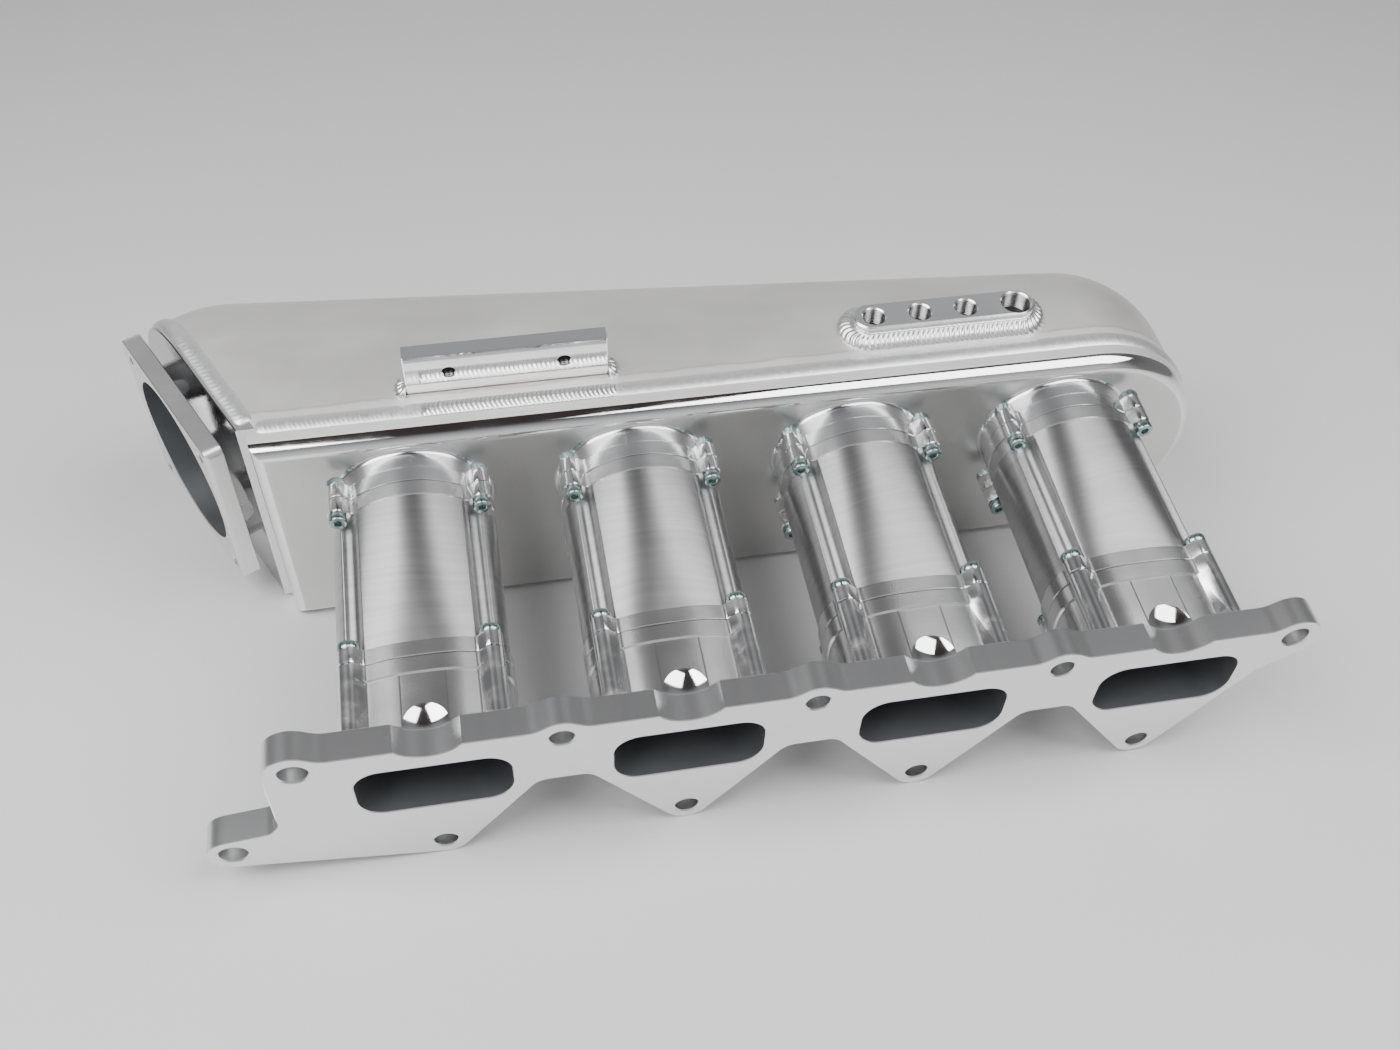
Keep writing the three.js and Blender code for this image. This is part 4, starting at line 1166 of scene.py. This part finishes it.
def hexagon(across_flats):
    sixth = math.pi / 3
    return across_flats / 2 / np.cos((SCREW_ANGLES + math.pi / 6) % sixth - math.pi / 6)


def fastener_rings(levels, x, y, z):
    """Rings along Y from (height, radii) levels."""
    rings = []
    for height, radii in levels:
        radii = np.broadcast_to(radii, SCREW_ANGLES.shape)
        rings.append(np.stack([x + radii * np.cos(SCREW_ANGLES), np.full(SCREW_POINTS, y + height),
                               z + radii * np.sin(SCREW_ANGLES)], axis=1))
    return rings


def knurled(radius, ridges=32, depth=0.11):
    return radius - depth * (0.5 + 0.5 * np.cos(ridges * SCREW_ANGLES))


def socket_head(sign, head_r, height, flats, socket_depth, shank_r, shank_end):
    """Levels of a knurled head with a hexagon socket; the head points towards sign along Y."""
    hexed = hexagon(flats)
    return [
        (sign * (height - socket_depth), hexed),
        (sign * (height - 0.25), hexed),
        (sign * height, hexed + 0.3),
        (sign * height, head_r - 0.55),
        (sign * (height - 0.2), head_r - 0.2),
        (sign * (height - 0.5), knurled(head_r)),
        (sign * 0.45, knurled(head_r)),
        (sign * 0.25, head_r - 0.2),
        (sign * 0.05, head_r - 0.35),
        (sign * 0.05, shank_r),
        (-sign * (shank_end - 0.5), shank_r),
        (-sign * shank_end, shank_r - 0.5),
    ]


def port_screw(name, x, z, node):
    levels = socket_head(1, shank_end=LOW_HEAD_SCREW_LENGTH, **LOW_HEAD_SCREW)
    obj = stack(name, fastener_rings(levels, x, LOWER_EAR_END, z))
    finished(obj, [ZINC], "zinc_steel", node, sharp=35)


def runner_bolt(name, x, z, node):
    grip = PLATE_EAR_END - UPPER_EAR_START
    levels = socket_head(-1, shank_end=grip + PAST_GRIP, **CAP_SCREW)
    head = stack(name, fastener_rings(levels, x, UPPER_EAR_START, z))
    hexed = hexagon(NUT_FLATS)
    nut_levels = [
        (0.05, 2.02),
        (0.05, np.minimum(hexed, NUT_CROWN_R)),
        (0.3, hexed),
        (2.9, hexed),
        (3.2, np.minimum(hexed, NUT_CROWN_R)),
        (3.2, 2.4),
        (2.9, 2.02),
    ]
    nut = stack("nut", fastener_rings(nut_levels, x, PLATE_EAR_END, z), closed=True)
    obj = join(name, [head, nut])
    finished(obj, [ZINC], "zinc_steel", node, sharp=35)


def o_ring(name, x, y, radii, node):
    """Seal of round section lying in its groove."""
    thickness = 0.75
    rings = []
    for angle in np.linspace(0, TURN, 16, endpoint=False):
        rings.append(polar(x, y + thickness * math.sin(angle), radii + thickness * math.cos(angle)))
    obj = stack(name, rings, closed=True)
    finished(obj, [RUBBER], "seal_rubber", node)


# ---- welds ------------------------------------------------------------------------------------
RANDOM = np.random.default_rng(7)
RIPPLE_CURVE = 0.9
PLATE_WELD_FEET = (147.2, 155.4)
SHEET_STEP = 0.25
# the stretch of the plate's weld, along X, where its ripples were left unbrushed
UNBRUSHED = (-130, -52)


def weld(name, stations, height, pitch, crisp, sink=0.6, taper=4.0, metals=(WELD,), choose=None):
    """Rippled bead over stations (left foot, right foot, outward), as a finished piece.

    crisp is the relief of its ripples: one number, or a function of the distance along the bead.
    """
    left, right, outward = (np.array(values, float) for values in zip(*stations))
    middle = (left + right) / 2
    length = np.concatenate([[0], np.cumsum(np.linalg.norm(np.diff(middle, axis=0), axis=1))])
    count = int(length[-1] / (pitch / 7)) + 2
    along = np.linspace(0, length[-1], count)

    def sample(values):
        return np.stack([np.interp(along, length, values[:, k]) for k in range(3)], axis=1)

    left, right, outward = sample(left), sample(right), sample(outward)
    outward /= np.linalg.norm(outward, axis=1)[:, None]
    across = np.linspace(-1, 1, 25)
    sharp = np.array([crisp(s) if callable(crisp) else crisp for s in along])
    drops = np.arange(0, length[-1] + pitch, pitch)
    jitter = np.interp(along, drops, RANDOM.uniform(-0.07, 0.07, len(drops)))
    ease = np.clip(np.minimum(along, length[-1] - along) / taper, 0, 1)
    ease = np.sqrt(np.clip(ease * (2 - ease), 0, 1))
    rings = []
    for k in range(count):
        phase = (along[k] / pitch + jitter[k] + RIPPLE_CURVE * (1 - across ** 2)) % 1
        ripple = sharp[k] * np.sin(math.pi * phase ** 1.5) ** 2
        dome = np.clip(1 - across ** 2, 0, 1) ** 0.75
        lift = ease[k] * height * (1 + 0.8 * jitter[k]) * dome * (1 + ripple)
        narrow = 0.35 + 0.65 * ease[k]
        centre = (left[k] + right[k]) / 2
        base = centre + np.outer(across * narrow, (right[k] - left[k]) / 2)
        top = base + np.outer(lift - 0.02, outward[k])
        low = base[[-1, 16, 8, 0]] - outward[k] * sink
        rings.append(np.concatenate([top, low]))
    finished(repaired(stack(name, rings)), metals, "sheet_aluminium", choose=choose, sharp=70)


def plate_weld():
    """Butt bead between base plate and sheet: along the top, round the closed end and back."""
    outline = []
    start_x = plate_low[0] + 3
    for x in np.linspace(start_x, plenum_end_x, 60):
        outline.append((x, plenum_z + plenum_r, 0.0, 1.0))
    for angle in np.linspace(math.pi / 2, -math.pi / 2, 61)[1:-1]:
        c, s = math.cos(angle), math.sin(angle)
        outline.append((plenum_end_x + plenum_r * c, plenum_z + plenum_r * s, c, s))
    for x in np.linspace(plenum_end_x, start_x, 60):
        outline.append((x, plenum_z - plenum_r, 0.0, -1.0))
    front, back = PLATE_WELD_FEET
    stations = []
    for x, z, nx, nz in outline:
        stations.append(((x, front, z), (x - nx * SHEET_STEP, back, z - nz * SHEET_STEP), (nx, 0, nz)))
    start, end = UNBRUSHED

    def crisp(along):
        return 0.42 if start < start_x + along < end else 0.06

    def choose(centre, normal):
        return 0 if start - 1 < centre.x < end and centre.z > plenum_z else 1

    weld("plate_weld", stations, 1.15, 1.9, crisp, metals=(WELD, WELD_BRUSHED), choose=choose)


def block_weld():
    """Fillet bead round the vacuum block."""
    low, high = block_low, block_high
    path = stadium(low, high)
    outer = stadium(low, high, 6.2)
    surface = plenum_z + shell_r
    stations = []
    for inner_point, outer_point in zip(np.vstack([path, path[:1]]), np.vstack([outer, outer[:1]])):
        direction = outer_point - inner_point
        direction /= np.linalg.norm(direction)
        top = (inner_point[0], inner_point[1], high[2] - 3.4)
        foot = (outer_point[0], outer_point[1], surface + 0.05)
        stations.append((top, foot, (direction[0] * 0.6, direction[1] * 0.6, 0.8)))
    half = len(path) // 2
    stations = stations[half:] + stations[1:half + 1]
    weld("block_weld", stations, 1.15, 2.2, 0.38, sink=2.2)


def throttle_weld():
    """Bead over the seam between the end plate and the sheet."""
    stations = []
    front_top = seam_point(THROTTLE_DEPTH)
    steps = []
    reach = (front_top[1] - (shell_start + 4)) / -throttle_along[1]
    for share in np.linspace(1, 0, 20):
        point = front_top + throttle_along[:2] * reach * share
        steps.append((point[0], point[1], plenum_z + shell_r, 0.0, 1.0))
    back = -throttle_along[:2]
    for angle in np.linspace(math.pi / 2, -math.pi / 2, 61)[1:-1]:
        c, s = math.cos(angle), math.sin(angle)
        point = front_top + back * shell_r * c
        steps.append((point[0], point[1], plenum_z + shell_r * s, c, s))
    for share in np.linspace(0, 1, 20):
        point = front_top + throttle_along[:2] * reach * share
        steps.append((point[0], point[1], plenum_z - shell_r, 0.0, -1.0))
    for x, y, z, c, s in steps:
        centre = np.array([x, y, z])
        outward = np.array([back[0] * c, back[1] * c, s])
        left = centre + throttle_out * 5.2
        right = centre - throttle_out * 2.6
        stations.append((left, right, outward))
    weld("throttle_weld", stations, 1.5, 2.4, 0.05, metals=(WELD_BRUSHED,))


def bracket_tacks():
    """Short tack beads at the bracket's two ends."""
    surface = plenum_z + shell_r
    middle_y = (bracket_low[1] + bracket_high[1]) / 2
    for end, side, x in (("left", -1, bracket_low[0]), ("right", 1, bracket_high[0])):
        stations = []
        for angle in np.linspace(-75, 75, 13):
            turn = math.radians(angle)
            direction = np.array([side * math.cos(turn), math.sin(turn)])
            top = np.array([x - side * 0.2, middle_y + 3 * math.sin(turn), surface + 3.2])
            foot = np.array([x + direction[0] * 5.5, middle_y + direction[1] * 7, surface + 0.05])
            stations.append((top, foot, (direction[0] * 0.5, direction[1] * 0.5, 0.8)))
        weld(f"bracket_tack_{end}", stations, 0.9, 1.8, 0.4, sink=1.0, taper=2.0)


# ---- studio -----------------------------------------------------------------------------------
FRONT_CONTACT = np.array([0, LUG_ROW_Z - LUG_R])
# how far behind the plate's front its lower edge meets the floor
PLATE_CONTACT = 5
BACK_CONTACT = np.array([PLATE_FRONT + PLATE_CONTACT, plate_low[2]])
FLOOR_REACH = 2600
FLOOR_BEND_START, FLOOR_BEND_R = 1400, 400
CAMERA_PLACE = Vector((-108.8, -268.8, 472.6))
CAMERA_AIM = Vector((-33.39, 62.5, 52.89))
CAMERA_ROLL = math.radians(3.247)
CAMERA_LENS = 37.83


def sweep_surface():
    """Floor under the lug tips and the plate's lower edge, curving up far behind."""
    slope = BACK_CONTACT - FRONT_CONTACT
    slope /= np.linalg.norm(slope)
    normal = np.array([-slope[1], slope[0]])
    profile = [(-FLOOR_REACH, 0), (FLOOR_BEND_START, 0)]
    for angle in np.linspace(0, math.pi / 2, 24)[1:]:
        across, up = math.sin(angle), 1 - math.cos(angle)
        profile.append((FLOOR_BEND_START + FLOOR_BEND_R * across, FLOOR_BEND_R * up))
    points, faces = [], []
    for side in (-FLOOR_REACH, FLOOR_REACH):
        for along, up in profile:
            place = FRONT_CONTACT + slope * along + normal * up
            points.append((side, place[0], place[1]))
    count = len(profile)
    for k in range(count - 1):
        faces.append([k, k + 1, count + k + 1, count + k])
    obj = to_object("studio_sweep", points, faces)
    obj.data.shade_smooth()
    paint(obj, [paper_sweep()])


SOFTBOX_AIM = Vector((0, 90, 0))
# name, place, width and height, power in watts
SOFTBOXES = (
    ("softbox_left", (-670, -80, 920), (930, 800), 17.5),
    ("softbox_right", (540, -110, 980), (840, 960), 14.5),
)


def softbox(name, place, size, power):
    light = bpy.data.lights.new(name, "AREA")
    light.shape = "RECTANGLE"
    light.size, light.size_y = size[0] * MM, size[1] * MM
    light.energy = power
    obj = linked(name, light)
    obj.location = Vector(place) * MM
    obj.rotation_euler = (SOFTBOX_AIM - Vector(place)).to_track_quat("-Z", "Y").to_euler()


# colour of the room by the sine of the height above the horizon: pale walls, dark ceiling
ROOM_LIGHT = (
    (0.0, (0.84, 0.83, 0.83)),
    (0.35, (0.72, 0.72, 0.725)),
    (0.72, (0.32, 0.328, 0.34)),
    (0.92, (0.045, 0.036, 0.036)),
)
# strength of the room's light by the size of the direction's X: from, to, value at from, value at to
SIDE_SHADE = (0.35, 0.75, 1.0, 0.22)


def studio_light():
    """Room whose colour changes with height and that darkens sideways, and two softboxes."""
    world = bpy.data.worlds.new("studio")
    bpy.context.scene.world = world
    world.use_nodes = True
    tree = world.node_tree
    kinds = ("TexCoord", "SeparateXYZ", "ValToRGB", "Math", "MapRange")
    place, split, ramp, sideways, shade = (tree.nodes.new("ShaderNode" + kind) for kind in kinds)
    stops = ramp.color_ramp.elements
    while len(stops) < len(ROOM_LIGHT):
        stops.new(0.5)
    for stop, (height, colour) in zip(stops, ROOM_LIGHT):
        stop.position = height
        stop.color = (*colour, 1)
    sideways.operation = "ABSOLUTE"
    for socket, value in zip(shade.inputs[1:5], SIDE_SHADE):
        socket.default_value = value
    background = tree.nodes["Background"].inputs
    for output, socket in (
        (place.outputs["Generated"], split.inputs[0]),
        (split.outputs[2], ramp.inputs[0]),
        (ramp.outputs[0], background[0]),
        (split.outputs[0], sideways.inputs[0]),
        (sideways.outputs[0], shade.inputs[0]),
        (shade.outputs[0], background[1]),
    ):
        tree.links.new(output, socket)
    for values in SOFTBOXES:
        softbox(*values)


def camera():
    data = bpy.data.cameras.new("camera")
    data.sensor_width = 36
    data.lens = CAMERA_LENS
    data.clip_start = 0.01
    obj = linked("camera", data)
    forward = (CAMERA_AIM - CAMERA_PLACE).normalized()
    level = forward.cross(Vector((0, 0, 1))).normalized()
    upright = level.cross(forward)
    right = math.cos(CAMERA_ROLL) * level + math.sin(CAMERA_ROLL) * upright
    up = right.cross(forward)
    rotation = Matrix((right, up, -forward)).transposed()
    obj.matrix_world = Matrix.Translation(CAMERA_PLACE * MM) @ rotation.to_4x4()
    bpy.context.scene.camera = obj


# ---- assembly ---------------------------------------------------------------------------------
camera()
studio_light()
sweep_surface()

head_flange()
base_plate()
plenum_shell()
throttle_flange()
accessory_bracket()
vacuum_block()

SEAL_BELOW_JOINT = 0.9
SEAL_CLEAR_OF_PORT = 2.2
RUNNER_SEAL_R = 27.6
CORNERS = (("upper_left", -1, 1), ("upper_right", 1, 1), ("lower_left", -1, -1), ("lower_right", 1, -1))
around_port = rounded_rectangle(*PORT, grow=SEAL_CLEAR_OF_PORT)
around_bore = np.full(POINTS, RUNNER_SEAL_R)
for number, x in zip(RUNNERS, runner_x):
    runner_body(number, x)
    o_ring(f"port_o_ring_{number}", x, lower_joint - SEAL_BELOW_JOINT, around_port, f"port_seal_{number}")
    o_ring(f"runner_o_ring_{number}", x, upper_joint - SEAL_BELOW_JOINT, around_bore, f"runner_seal_{number}")
    for corner, sx, sz in CORNERS:
        port_screw(f"low_head_screw_{number}_{corner}", x + sx * LOWER_EAR[0], sz * LOWER_EAR[1],
                   f"port_screw_{number}_{corner}")
        runner_bolt(f"cap_screw_{number}_{corner}", x + sx * UPPER_EAR[0], sz * UPPER_EAR[1],
                    f"runner_bolt_{number}_{corner}")

plate_weld()
throttle_weld()
block_weld()
bracket_tacks()
